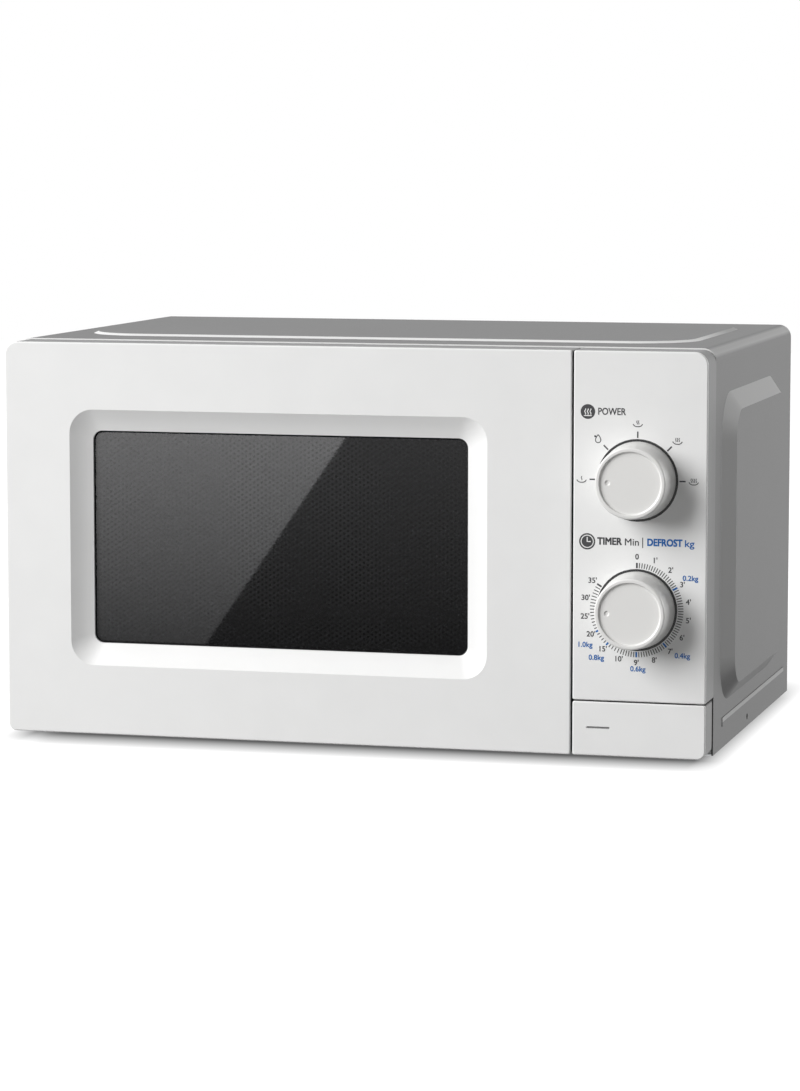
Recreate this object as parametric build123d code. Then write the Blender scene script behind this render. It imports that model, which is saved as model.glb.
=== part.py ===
from build123d import *
import os

# Front of the oven, in millimetres: the door and the control panel stand ahead of the cabinet
FRONT_WIDTH = 440.0
FRONT_HEIGHT = 242.5
FRONT_DEPTH = 26.0
PANEL_WIDTH = 80.8
PANEL_GAP = 1.2
CORNER_TOP = 8.0
CORNER_BOTTOM = 5.0
CORNER_SEAM = 1.2
EDGE_ROUND = 0.9
WALL = 2.5
DOOR_CLEARANCE = 1.0

# Cabinet sheet, its pressed panels, grooves and screw holes
BODY_DEPTH = 275.0
SHEET = 0.8
SHEET_FIT = 0.2
TOP_LIP = 0.8
FRONT_LIFT = 1.5
HEM = 12.0
SIDE_PRESS_FRONT = 20.8
SIDE_PRESS_LENGTH = 196.4
SIDE_PRESS_BOTTOM = 28.0
SIDE_PRESS_HEIGHT = 188.3
SIDE_PRESS_LIFT = 7.4
SIDE_PRESS_SLOPE = 10.5
SIDE_PRESS_CORNER = 28.0
SIDE_PRESS_CREST_CORNER = 18.0
TOP_PRESS_FRONT = 38.0
TOP_PRESS_REAR = 31.0
TOP_PRESS_INSET = 24.0
TOP_PRESS_LIFT = 1.2
TOP_PRESS_SLOPE = 3.0
TOP_PRESS_CORNER = 40.0
GROOVE_FRONT = 30.0
GROOVE_LENGTH = 225.0
GROOVE_HEIGHT = 16.0
GROOVE_WIDTH = 4.0
GROOVE_DEPTH = 1.2
SIDE_HOLE_BACK = 119.0
SIDE_HOLE_HEIGHT = 6.0
SIDE_HOLE_RADIUS = 2.0

# Base plate and feet
BASE_FLANGE = 11.0
FOOT_HEIGHT = 8.0
FOOT_RADIUS = 11.0
FOOT_TIP_RADIUS = 9.0
FOOT_STEM_RADIUS = 4.0
FOOT_CLIP_RADIUS = 5.5
FOOT_CLIP_HEIGHT = 2.5
FOOT_ROUND = 1.0
FOOT_INSET = 45.0
FOOT_FROM_FRONT = 55.0
FOOT_FROM_REAR = 40.0
VENT_LENGTH = 26.0
VENT_WIDTH = 4.0
VENT_PITCH = 9.0
ROUND_TRIM = 0.01
BASE_VENT_ROWS = 6

# Cooking cavity, front plate and back plate
PLATE = 1.0
CAVITY_INSET = 18.5
CAVITY_SEAM_INSET = 27.5
CAVITY_HEIGHT = 200.0
CAVITY_CORNER = 6.0
FLOOR_LIFT = 23.5
REAR_DISH = 14.0
DISH_MARGIN = 8.0
DISH_SLOPE = 12.0
DISH_CORNER = 30.0
DISH_CREST_CORNER = 20.0
AIR_SLOTS = 5
REAR_VENT_ROWS = 9
REAR_VENT_SPREAD = 15.6

# Turntable and its drive
TURNTABLE_RADIUS = 122.5
TURNTABLE_THICKNESS = 5.0
TURNTABLE_RIM = 8.0
TURNTABLE_RIM_SLOPE = 7.0
TURNTABLE_HEEL_ROUND = 4.0
TURNTABLE_LIP_ROUND = 1.5
LUG_RING_RADIUS = 29.0
LUG_RING_WIDTH = 3.0
LUG_RING_DEPTH = 5.0
TRACK_DEPTH = 1.0
TRACK_HALF_WIDTH = 8.0
ROLLER_COUNT = 3
ROLLER_RADIUS = 7.0
ROLLER_WIDTH = 8.0
ROLLER_CIRCLE = 95.0
ROLLER_GAP = 0.3
ROLLER_ROUND = 1.5
AXLE_RADIUS = 2.0
RUNNING_CLEARANCE = 0.06
RING_WIDTH = 7.0
RING_HEIGHT = 7.0
RING_ROUND = 1.0
RING_ROLLER_GAP = 1.0
AXLE_CAP = 1.5
AXLE_CAP_RADIUS = 3.6
COUPLER_HUB_RADIUS = 9.0
COUPLER_CAP = 2.0
COUPLER_ARMS = 3
COUPLER_ARM_TURN = 30.0
COUPLER_ARM_REACH = 24.0
COUPLER_ARM_WIDTH = 8.0
COUPLER_ARM_HEIGHT = 5.0
COUPLER_LIFT = 1.0
DRIVE_SHAFT_RADIUS = 3.5
DRIVE_SHAFT_FLAT = 2.6
DRIVE_SHAFT_SEAT = 8.0
DRIVE_HOLE_GAP = 2.0
MOTOR_RADIUS = 24.5
MOTOR_HEIGHT = 15.0
MOTOR_EAR_REACH = 32.0
MOTOR_EAR_WIDTH = 12.0
MOTOR_EAR_THICKNESS = 1.5

# Door frame with its coved window
WINDOW_LEFT = 41.8
WINDOW_RIGHT = 51.5
WINDOW_BOTTOM = 43.0
WINDOW_HEIGHT = 158.4
WINDOW_CORNER = 15.0
COVE_WIDTH = 13.3
COVE_DEPTH = 6.0
COVE_CORNER = 6.0
COVE_STEPS = 3
COVE_HOLLOW = 0.3
WINDOW_LIP = 1.5
GLASS_THICKNESS = 3.2
GLASS_OVERLAP = 6.0
FRAME_BOSS_RADIUS = 4.0

# Choke pan, perforated screen, inner cover and film behind the window
CHOKE_GAP = 0.3
CHOKE_DEPTH = 11.8
CHOKE_SHEET = 0.8
CHOKE_OVERLAP_SIDE = 12.0
CHOKE_OVERLAP_END = 9.0
CHOKE_CORNER = 6.0
CHOKE_LIP = 7.0
CHOKE_SLIT = 1.6
CHOKE_SLIT_PITCH = 24.0
SCREEN_SEAM = 10.0
FILM_THICKNESS = 0.8
COVER_THICKNESS = 2.0

# Door hinges
HINGE_INSET = 9.0
HINGE_BACK = 14.0
HINGE_PIN_RADIUS = 2.5
HINGE_ARM_HALF_WIDTH = 5.0
HINGE_ARM_THICKNESS = 2.5
HINGE_ARM_GAP = 1.0
HINGE_BUSH_RADIUS = 4.5
HINGE_BUSH_LENGTH = 6.0
HINGE_BUSH_GAP = 0.4
HINGE_BLOCK_MARGIN = 3.5
HINGE_FLANGE_HALF_WIDTH = 6.0
HINGE_FLANGE_REACH = 5.0
HINGE_FLANGE_THICKNESS = 1.5
SWING_CLEARANCE = 1.0
HINGE_SLOT_FRONT = 8.0

# Door latch, its board, the release lever and the interlock switches
LATCH_BAR_WIDTH = 8.0
LATCH_BAR_DEPTH = 8.0
LATCH_BAR_BACK = 20.0
LATCH_BAR_END = 14.0
LATCH_SLIDE_GAP = 0.3
LATCH_STOP = 3.0
LATCH_SPRING_LENGTH = 16.0
HOOK_HEIGHTS = (58.0, 178.0)
HOOK_THICKNESS = 5.0
HOOK_ARM = 8.0
HOOK_DROP = 3.0
HOOK_REACH = 26.0
HOOK_BARB = 14.0
HOOK_NOSE = 6.0
HOOK_ROUND = 1.0
HOOK_LIFT = 2.5
HOOK_SIDE_ROOM = 1.2
HOOK_SWING_ROOM = 2.6
HOOK_END_ROOM = 1.0
KEEPER_GAP = 0.4
KEEPER_DEPTH = 5.0
KEEPER_HEIGHT = 4.0
LATCH_BOARD_THICKNESS = 3.0
LATCH_BOARD_GAP = 4.0
LATCH_BOARD_DEPTH = 46.0
LATCH_BOARD_BELOW = 34.0
LATCH_BOARD_ABOVE = 22.0
LATCH_BOARD_FLANGE = 5.0
LATCH_BOARD_CORNER = 3.0
LEVER_BACK = 9.0
LEVER_DROP = 22.0
LEVER_HUB_RADIUS = 5.0
LEVER_PIN_RADIUS = 2.0
LEVER_COLLAR_RADIUS = 4.0
LEVER_ROUND = 1.0
LEVER_ARM = 6.0
LEVER_PAD_LENGTH = 9.0
LEVER_GAP = 0.4
LEVER_WIDTH = 5.0
LEVER_UNDER_HOOK = 2.4
SWITCH_LENGTH = 28.0
SWITCH_DEPTH = 16.0
SWITCH_THICKNESS = 10.0
SWITCH_PLUNGER_RADIUS = 1.6
SWITCH_PLUNGER_REACH = 1.8
SWITCH_HOLE_RADIUS = 1.6
SWITCH_CORNER = 1.5
BLADE_WIDTH = 4.8
BLADE_LENGTH = 7.0

# Control panel, knobs, shafts and the units behind them
PANEL_WALL = 3.0
KNOB_FROM_RIGHT = 42.0
POWER_KNOB_HEIGHT = 166.0
TIMER_KNOB_HEIGHT = 88.6
KNOB_REACH = 22.0
KNOB_BASE_RADIUS = 23.2
KNOB_RIM_RADIUS = 21.2
KNOB_RIM_ROUND = 1.2
KNOB_DISH_RADIUS = 18.6
KNOB_DISH_DEPTH = 1.4
KNOB_DISH_ROUND = 0.8
KNOB_LIP_ROUND = 0.5
KNOB_FACE_THICKNESS = 3.0
KNOB_WALL = 2.4
KNOB_HUB_RADIUS = 6.0
KNOB_DOT_RADIUS = 1.7
KNOB_DOT_OFFSET = 13.8
KNOB_DOT_DEPTH = 0.7
KNOB_RECESS_RADIUS = 24.2
KNOB_RECESS_DEPTH = 1.5
KNOB_GAP = 0.4
SHAFT_RADIUS = 3.0
SHAFT_SEAT = 11.0
SHAFT_BORE_DEPTH = 12.0
PANEL_HOLE_RADIUS = 5.0
TIMER_SIZE = 56.0
TIMER_DEPTH = 38.0
TIMER_CORNER = 6.0
BELL_RADIUS = 20.0
BELL_DEPTH = 9.0
BELL_ROUND = 5.0
SELECTOR_SIZE = 44.0
SELECTOR_DEPTH = 26.0
SELECTOR_CORNER = 4.0
CONTROL_WINDOW_MARGIN = 3.0

# Door-release button
BUTTON_HEIGHT = 32.6
BUTTON_GAP = 0.8
BUTTON_TRAVEL = 4.0
BUTTON_ROOM = 0.8
BUTTON_WALL = 2.4
BUTTON_PEG_RADIUS = 3.0
BUTTON_PEG_INSET = 19.0
BUTTON_PEG_PAST = 8.0
BUTTON_RIB_INSET = 3.0
BUTTON_RIB_WIDTH = 4.0
BUTTON_RIB_HEIGHT = 8.0
BUTTON_RIB_ROOM = 1.0
BUTTON_DASH_INSET = 8.5
BUTTON_DASH_LENGTH = 14.7
BUTTON_DASH_WIDTH = 1.3
BUTTON_DASH_DEPTH = 0.6
BUTTON_DASH_HEIGHT = 17.0
SPRING_WIRE_RADIUS = 0.45
SPRING_RADIUS = 4.4
SPRING_TURNS = 5
SPRING_END_GAP = 0.2

# Waveguide, magnetron and lamp on the cavity's right wall
MAGNETRON_BACK = 150.0
MAGNETRON_HEIGHT = 150.0
WAVEGUIDE_LENGTH = 110.0
WAVEGUIDE_HEIGHT = 68.0
WAVEGUIDE_DEPTH = 22.0
WAVEGUIDE_FLANGE = 7.0
WAVEGUIDE_CORNER = 4.0
PORT_LENGTH = 70.0
PORT_HEIGHT = 36.0
COVER_SHEET_MARGIN = 10.0
COVER_SHEET_THICKNESS = 0.6
COVER_SHEET_CORNER = 4.0
YOKE_WIDTH = 48.0
YOKE_LENGTH = 88.0
YOKE_HEIGHT = 72.0
YOKE_SHEET = 1.5
ANODE_RADIUS = 17.0
FIN_COUNT = 6
FIN_THICKNESS = 0.8
FIN_MARGIN = 1.0
ANTENNA_RADIUS = 7.0
ANTENNA_REACH = 15.0
ANTENNA_ROUND = 3.0
ANTENNA_COLLAR_RADIUS = 11.0
ANTENNA_COLLAR = 3.0
FILTER_BOX_WIDTH = 22.0
FILTER_BOX_LENGTH = 46.0
FILTER_BOX_HEIGHT = 42.0
FILTER_BOX_CORNER = 3.0
FILTER_TAB = 6.0
LAMP_HEIGHT = 85.0
LAMP_BRACKET_LENGTH = 40.0
LAMP_BRACKET_HEIGHT = 26.0
LAMP_BRACKET_DEPTH = 16.0
LAMP_BULB_RADIUS = 8.0
LAMP_BULB_LENGTH = 24.0
LAMP_BULB_ROUND = 6.0
LAMP_SOCKET_LENGTH = 8.0

# High-voltage supply on the base plate
TRANSFORMER_BACK = 125.0
CORE_WIDTH = 58.0
CORE_LENGTH = 92.0
CORE_HEIGHT = 78.0
CORE_LEG = 30.0
CORE_YOKE = 15.0
CORE_FOOT = 2.0
CORE_FOOT_REACH = 9.0
COIL_GAP = 0.6
COIL_BUILD = 14.0
PRIMARY_SHARE = 0.4
CAPACITOR_BACK = 200.0
CAPACITOR_LENGTH = 52.0
CAPACITOR_WIDTH = 33.0
CAPACITOR_HEIGHT = 82.0
CAPACITOR_RIM = 1.2
TERMINAL_HEIGHT = 9.0
TERMINAL_POST_RADIUS = 3.0
CLAMP_SHEET = 1.0
CLAMP_WIDTH = 14.0
CLAMP_HEIGHT = 38.0
CLAMP_FOOT = 14.0
DIODE_RADIUS = 3.5
DIODE_LENGTH = 18.0
DIODE_LEAD_RADIUS = 1.0
DIODE_LEAD = 6.0
DIODE_GAP = 4.0

# Cooling fan, filter board, thermal cut-out and cord bushing
DUCT_DEPTH = 46.0
DUCT_HEIGHT = 104.0
DUCT_WALL = 1.5
DUCT_SIDE_GAP = 11.0
FAN_RADIUS = 42.0
FAN_HUB_RADIUS = 11.0
FAN_HUB_LENGTH = 16.0
FAN_BLADES = 5
FAN_ROOT_CHORD = 15.0
FAN_TIP_CHORD = 26.0
FAN_ROOT_PITCH = 48.0
FAN_TIP_PITCH = 30.0
FAN_BLADE_THICKNESS = 1.4
FAN_BLADE_ROUND = 0.63
FAN_BLADE_ROOT = 8.8
FAN_OPENING_GAP = 3.0
FAN_SHAFT_RADIUS = 2.0
FAN_SHAFT_SEAT = 10.0
FAN_MOTOR_SIZE = 46.0
FAN_MOTOR_STACK = 16.0
FAN_MOTOR_GAP = 8.0
FAN_MOTOR_CORNER = 3.0
FAN_MOTOR_LEG_RADIUS = 3.0
FAN_MOTOR_LEG_INSET = 4.0
FAN_COIL_WIDTH = 30.0
FAN_COIL_HEIGHT = 20.0
FAN_COIL_PROUD = 2.0
FAN_COIL_CORNER = 4.0
BOARD_LENGTH = 40.0
BOARD_WIDTH = 64.0
BOARD_THICKNESS = 1.6
BOARD_STANDOFF = 3.0
BOARD_POST_RADIUS = 2.5
BOARD_POST_INSET = 4.0
CHOKE_COIL_RADIUS = 9.0
CHOKE_COIL_BORE = 4.0
CHOKE_COIL_HEIGHT = 7.2
FUSE_RADIUS = 3.0
FUSE_LENGTH = 22.0
FUSE_SEAT = 0.2
FILTER_CAP_WIDTH = 8.0
FILTER_CAP_HEIGHT = 9.0
CUTOUT_RADIUS = 8.0
CUTOUT_HEIGHT = 7.0
CUTOUT_EAR = 14.0
CUTOUT_HOLE_INSET = 4.0
CUTOUT_HOLE_RADIUS = 1.6
CORD_BORE_RADIUS = 4.0
BUSHING_RADIUS = 6.5
BUSHING_FLANGE_RADIUS = 10.0
BUSHING_FLANGE = 2.5
BUSHING_BODY = 8.0
BUSHING_ROUND = 1.0
BUSHING_FROM_RIGHT = 40.0
BUSHING_HEIGHT = 40.0
SCREW_HEAD_RADIUS = 4.0
SCREW_HEAD = 2.2
SCREW_HEAD_ROUND = 1.2
SCREW_RADIUS = 1.9
SCREW_LENGTH = 8.0
SCREW_INSET = 6.0
SCREW_FROM_END = 40.0


def span(centre, size):
    """The lower and upper limit of a size about its centre."""
    return (centre - size / 2, centre + size / 2)


def grow(limits, by):
    """Limits moved outwards, or inwards where by is negative."""
    return (limits[0] - by, limits[1] + by)


def middle(limits):
    """The middle of two limits."""
    return (limits[0] + limits[1]) / 2


# Datums: +Z up, the door faces -Y, the origin under the middle of the oven's box
OVERALL_DEPTH = KNOB_REACH + FRONT_DEPTH + BODY_DEPTH + REAR_DISH
BODY_X = span(0.0, FRONT_WIDTH)
PANEL_X = (BODY_X[1] - PANEL_WIDTH, BODY_X[1])
DOOR_X = (BODY_X[0], PANEL_X[0] - PANEL_GAP)
FACE_Y = -OVERALL_DEPTH / 2 + KNOB_REACH
BODY_Y = (FACE_Y + FRONT_DEPTH, FACE_Y + FRONT_DEPTH + BODY_DEPTH)
BASE_Z = FOOT_HEIGHT
FRONT_Z = (BASE_Z + FRONT_LIFT, BASE_Z + FRONT_LIFT + FRONT_HEIGHT)
TOP_Z = FRONT_Z[1] + TOP_LIP
INNER_X = grow(BODY_X, -SHEET - SHEET_FIT)
INNER_Z = (BASE_Z + SHEET, TOP_Z - SHEET - SHEET_FIT)
BACK_PLATE_Y = (BODY_Y[1] - 2 * SHEET, BODY_Y[1] - SHEET)
INNER_Y = (BODY_Y[0] + PLATE, BACK_PLATE_Y[0])

CAVITY_X = (DOOR_X[0] + CAVITY_INSET, DOOR_X[1] - CAVITY_SEAM_INSET)
CAVITY_Z = (BASE_Z + FLOOR_LIFT, BASE_Z + FLOOR_LIFT + CAVITY_HEIGHT)
BAY_X = (CAVITY_X[1] + SHEET, INNER_X[1])
TURN_X = middle(CAVITY_X)
TURN_Y = middle((BODY_Y[0], BODY_Y[1] + REAR_DISH - SHEET))

DOOR_BACK_Y = BODY_Y[0] - DOOR_CLEARANCE
PANEL_Z = (FRONT_Z[0] + BUTTON_HEIGHT + BUTTON_GAP, FRONT_Z[1])
BUTTON_Z = (FRONT_Z[0], FRONT_Z[0] + BUTTON_HEIGHT)
KNOB_X = BODY_X[1] - KNOB_FROM_RIGHT
POWER_Z = FRONT_Z[0] + POWER_KNOB_HEIGHT
TIMER_Z = FRONT_Z[0] + TIMER_KNOB_HEIGHT

WINDOW_X = (DOOR_X[0] + WINDOW_LEFT, DOOR_X[1] - WINDOW_RIGHT)
WINDOW_Z = (FRONT_Z[0] + WINDOW_BOTTOM, FRONT_Z[0] + WINDOW_BOTTOM + WINDOW_HEIGHT)
OPENING_X = grow(WINDOW_X, -COVE_WIDTH)
OPENING_Z = grow(WINDOW_Z, -COVE_WIDTH)
GLASS_Y = (FACE_Y + COVE_DEPTH + WINDOW_LIP, FACE_Y + COVE_DEPTH + WINDOW_LIP + GLASS_THICKNESS)
CHOKE_X = grow(CAVITY_X, CHOKE_OVERLAP_SIDE)
CHOKE_Z = grow(CAVITY_Z, CHOKE_OVERLAP_END)
CHOKE_Y = (GLASS_Y[1] + CHOKE_GAP, GLASS_Y[1] + CHOKE_GAP + CHOKE_DEPTH)

HINGE_X = DOOR_X[0] + HINGE_INSET
HINGE_Y = FACE_Y + HINGE_BACK
SWING_RADIUS = BODY_Y[0] - HINGE_Y - SWING_CLEARANCE
UPPER_ARM_Z = (CHOKE_Z[1] + HINGE_ARM_GAP, CHOKE_Z[1] + HINGE_ARM_GAP + HINGE_ARM_THICKNESS)
LOWER_ARM_Z = (CHOKE_Z[0] - HINGE_ARM_GAP - HINGE_ARM_THICKNESS, CHOKE_Z[0] - HINGE_ARM_GAP)
UPPER_BUSH_Z = (UPPER_ARM_Z[1] + HINGE_BUSH_GAP, UPPER_ARM_Z[1] + HINGE_BUSH_GAP + HINGE_BUSH_LENGTH)
LOWER_BUSH_Z = (LOWER_ARM_Z[0] - HINGE_BUSH_GAP - HINGE_BUSH_LENGTH, LOWER_ARM_Z[0] - HINGE_BUSH_GAP)

LATCH_X = CHOKE_X[1] + LATCH_SLIDE_GAP + LATCH_BAR_WIDTH / 2
LATCH_BAR_X = span(LATCH_X, LATCH_BAR_WIDTH)
HOOK_X = span(LATCH_X, HOOK_THICKNESS)
HOOK_Z = [FRONT_Z[0] + height for height in HOOK_HEIGHTS]
LATCH_BAR_Y = (FACE_Y + LATCH_BAR_BACK - LATCH_BAR_DEPTH, FACE_Y + LATCH_BAR_BACK)
LATCH_BAR_Z = (HOOK_Z[0] - LATCH_BAR_END, HOOK_Z[1] + LATCH_BAR_END)
LATCH_SPRING_Z = (LATCH_BAR_Z[1], LATCH_BAR_Z[1] + LATCH_SPRING_LENGTH)
HOOK_TIP_Y = BODY_Y[0] + HOOK_REACH
BARB_BOTTOM = HOOK_ARM / 2 + HOOK_DROP
BOARD_X = (HOOK_X[0] - LATCH_BOARD_GAP - LATCH_BOARD_THICKNESS, HOOK_X[0] - LATCH_BOARD_GAP)
BOARD_Z = (HOOK_Z[0] - LATCH_BOARD_BELOW, HOOK_Z[1] + LATCH_BOARD_ABOVE)
LEVER_Y = BODY_Y[0] + LEVER_BACK
LEVER_Z = HOOK_Z[0] - LEVER_DROP
LEVER_X = (HOOK_X[1] - LEVER_UNDER_HOOK, HOOK_X[1] - LEVER_UNDER_HOOK + LEVER_WIDTH)
BUTTON_MID_Z = middle(BUTTON_Z)
BUTTON_RIB_X = (PANEL_X[0] + BUTTON_RIB_INSET, PANEL_X[0] + BUTTON_RIB_INSET + BUTTON_RIB_WIDTH)
BUTTON_BACK_Y = BODY_Y[0] - BUTTON_TRAVEL - BUTTON_ROOM
LEVER_FACE_Y = LEVER_Y - LEVER_ARM / 2
BUTTON_PEG_X = (PANEL_X[0] + BUTTON_PEG_INSET, PANEL_X[1] - BUTTON_PEG_INSET)

MAGNETRON_Y = BODY_Y[0] + MAGNETRON_BACK
MAGNETRON_Z = CAVITY_Z[0] + MAGNETRON_HEIGHT
WAVEGUIDE_X = (BAY_X[0], BAY_X[0] + WAVEGUIDE_DEPTH)
YOKE_X = (WAVEGUIDE_X[1], WAVEGUIDE_X[1] + YOKE_WIDTH)
BAY_MIDDLE = middle(BAY_X)
DUCT_Y = (INNER_Y[1] - DUCT_DEPTH, INNER_Y[1])
DUCT_Z = span(MAGNETRON_Z, DUCT_HEIGHT)
DUCT_X = (BAY_X[0], BAY_X[1] - DUCT_SIDE_GAP)
FAN_X = middle(DUCT_X)
FAN_HUB_Y = (DUCT_Y[0] - FAN_HUB_LENGTH / 2, DUCT_Y[0] + FAN_HUB_LENGTH / 2)
FAN_MOTOR_Y = (FAN_HUB_Y[1] + FAN_MOTOR_GAP, FAN_HUB_Y[1] + FAN_MOTOR_GAP + FAN_MOTOR_STACK)


def rect(u, v, radius=0.0):
    """A rectangle over two limits, with rounded corners where a radius is given."""
    width = u[1] - u[0]
    height = v[1] - v[0]
    outline = RectangleRounded(width, height, radius) if radius > 0 else Rectangle(width, height)
    return Pos(middle(u), middle(v)) * outline


def corner_rect(u, v, lower_left, lower_right, upper_right, upper_left):
    """A rectangle with its own radius at each corner."""
    points = [(u[0], v[0]), (u[1], v[0]), (u[1], v[1]), (u[0], v[1])]
    radii = [lower_left, lower_right, upper_right, upper_left]
    return make_face(FilletPolyline(points, radius=radii, close=True))


def profile(*points):
    """A closed outline from (u, v) or (u, v, corner radius) points."""
    places = [point[:2] for point in points]
    radii = [point[2] if len(point) > 2 else 0.0 for point in points]
    return make_face(FilletPolyline(places, radius=radii, close=True))


def along_x(sketch, x):
    """A (y, z) sketch extruded between two x limits."""
    return extrude(Plane.YZ.offset(x[0]) * sketch, amount=x[1] - x[0])


def along_y(sketch, y):
    """An (x, z) sketch extruded between two y limits."""
    return extrude(Plane.XZ.offset(-y[1]) * sketch, amount=y[1] - y[0])


def along_z(sketch, z):
    """An (x, y) sketch extruded between two z limits."""
    return extrude(Plane.XY.offset(z[0]) * sketch, amount=z[1] - z[0])


def block(x, y, z):
    """A block between limits along each axis."""
    return along_z(rect(x, y), z)


def disc(u, v, radius):
    """A circle about a point of a sketch."""
    return Pos(u, v) * Circle(radius)


def turned_y(outline, x, z):
    """A (radius, y) outline turned about a line along Y."""
    plane = Plane(origin=(x, 0, z), x_dir=(1, 0, 0), z_dir=(0, 0, 1))
    return revolve(plane * outline, Axis((x, 0, z), (0, 1, 0)))


def turned_z(outline, x, y):
    """A (radius, z) outline turned about an upright line."""
    plane = Plane(origin=(x, y, 0), x_dir=(1, 0, 0), z_dir=(0, -1, 0))
    return revolve(plane * outline, Axis((x, y, 0), (0, 0, 1)))


def pressed(plane, u, v, corner, crest_corner, slope, lift):
    """A shallow pressed panel that rises from a rounded rectangle on a plane to a smaller one."""
    low = plane * rect(u, v, corner)
    high = plane.offset(lift) * rect(grow(u, -slope), grow(v, -slope), crest_corner)
    return loft([low, high], ruled=True)


def slot(u, v):
    """A rectangle with rounded ends."""
    return rect(u, v, min(u[1] - u[0], v[1] - v[0]) / 2 - ROUND_TRIM)


def slot_rows(u, v_middle, rows):
    """A column of level slots over the limits u."""
    places = [v_middle + VENT_PITCH * (row - (rows - 1) / 2) for row in range(rows)]
    return Sketch() + [slot(u, span(place, VENT_WIDTH)) for place in places]


def coil(start, direction, length, radius):
    """A round-wire coil spring from a point along a direction."""
    pitch = (length - 2 * SPRING_WIRE_RADIUS) / SPRING_TURNS
    base = Vector(start) + Vector(direction) * SPRING_WIRE_RADIUS
    path = Helix(pitch, pitch * SPRING_TURNS, radius, center=base, direction=direction)
    section = Plane(origin=path @ 0, z_dir=path % 0) * RegularPolygon(SPRING_WIRE_RADIUS, 6)
    return sweep(section, path, is_frenet=True)


# Cabinet, base and feet
def cabinet():
    """Sheet folded over the top and both sides, pressed for stiffness and hemmed behind."""
    inner = grow(BODY_X, -SHEET)
    shell = along_y(corner_rect(BODY_X, (BASE_Z, TOP_Z), 0, 0, CORNER_TOP, CORNER_TOP), BODY_Y)
    inner_corner = CORNER_TOP - SHEET
    hollow = corner_rect(inner, (BASE_Z, TOP_Z - SHEET), 0, 0, inner_corner, inner_corner)
    shell -= along_y(hollow, (BODY_Y[0], BODY_Y[1] - SHEET))
    shell -= along_y(rect(grow(BODY_X, -HEM), (BASE_Z, TOP_Z - HEM)), (BODY_Y[1] - SHEET, BODY_Y[1]))
    press_y = (BODY_Y[0] + SIDE_PRESS_FRONT, BODY_Y[0] + SIDE_PRESS_FRONT + SIDE_PRESS_LENGTH)
    press_z = (BASE_Z + SIDE_PRESS_BOTTOM, BASE_Z + SIDE_PRESS_BOTTOM + SIDE_PRESS_HEIGHT)
    groove_y = (BODY_Y[0] + GROOVE_FRONT, BODY_Y[0] + GROOVE_FRONT + GROOVE_LENGTH)
    groove_z = span(BASE_Z + GROOVE_HEIGHT, GROOVE_WIDTH)
    bead = along_x(slot(groove_y, groove_z), (BODY_X[1] - GROOVE_DEPTH, BODY_X[1]))
    backing = along_x(rect(grow(groove_y, SHEET), grow(groove_z, SHEET)), span(inner[1], 2 * GROOVE_DEPTH))
    raised = pressed(Plane.YZ.offset(BODY_X[1]), press_y, press_z, SIDE_PRESS_CORNER,
                     SIDE_PRESS_CREST_CORNER, SIDE_PRESS_SLOPE, SIDE_PRESS_LIFT)
    hole = disc(BODY_Y[0] + SIDE_HOLE_BACK, BASE_Z + SIDE_HOLE_HEIGHT, SIDE_HOLE_RADIUS)
    for flip in (False, True):
        outward, inward, cut = raised, Pos(-SHEET, 0, 0) * raised, bead
        rib, drill = backing, along_x(hole, (inner[1], BODY_X[1]))
        if flip:
            right = (outward, inward, cut, rib, drill)
            outward, inward, cut, rib, drill = [mirror(solid, Plane.YZ) for solid in right]
        shell = shell + outward + rib - inward - cut - drill
    roof_x = grow(BODY_X, -TOP_PRESS_INSET)
    roof_y = (BODY_Y[0] + TOP_PRESS_FRONT, BODY_Y[1] - TOP_PRESS_REAR)
    roof = pressed(Plane.XY.offset(TOP_Z), roof_x, roof_y, TOP_PRESS_CORNER,
                   TOP_PRESS_CORNER - TOP_PRESS_SLOPE, TOP_PRESS_SLOPE, TOP_PRESS_LIFT)
    shell = shell + roof - Pos(0, 0, -SHEET) * roof
    holes = [along_y(disc(x, z, SCREW_RADIUS + SHEET_FIT), BODY_Y) for x, z in rear_screw_places()]
    return shell - holes


def rear_screw_places():
    """Where the rear hem is screwed to the back plate: three down each side and one along the top."""
    side_x = BODY_X[1] - SCREW_INSET
    heights = (BASE_Z + SCREW_FROM_END, middle((BASE_Z, TOP_Z)), TOP_Z - SCREW_FROM_END)
    places = [(side * side_x, height) for side in (-1, 1) for height in heights]
    return places + [(0.0, TOP_Z - SCREW_INSET)]


def foot_places():
    """The middle of each foot."""
    across = BODY_X[1] - FOOT_INSET
    depths = (BODY_Y[0] + FOOT_FROM_FRONT, BODY_Y[1] - FOOT_FROM_REAR)
    return [(side * across, depth) for side in (-1, 1) for depth in depths]


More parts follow.
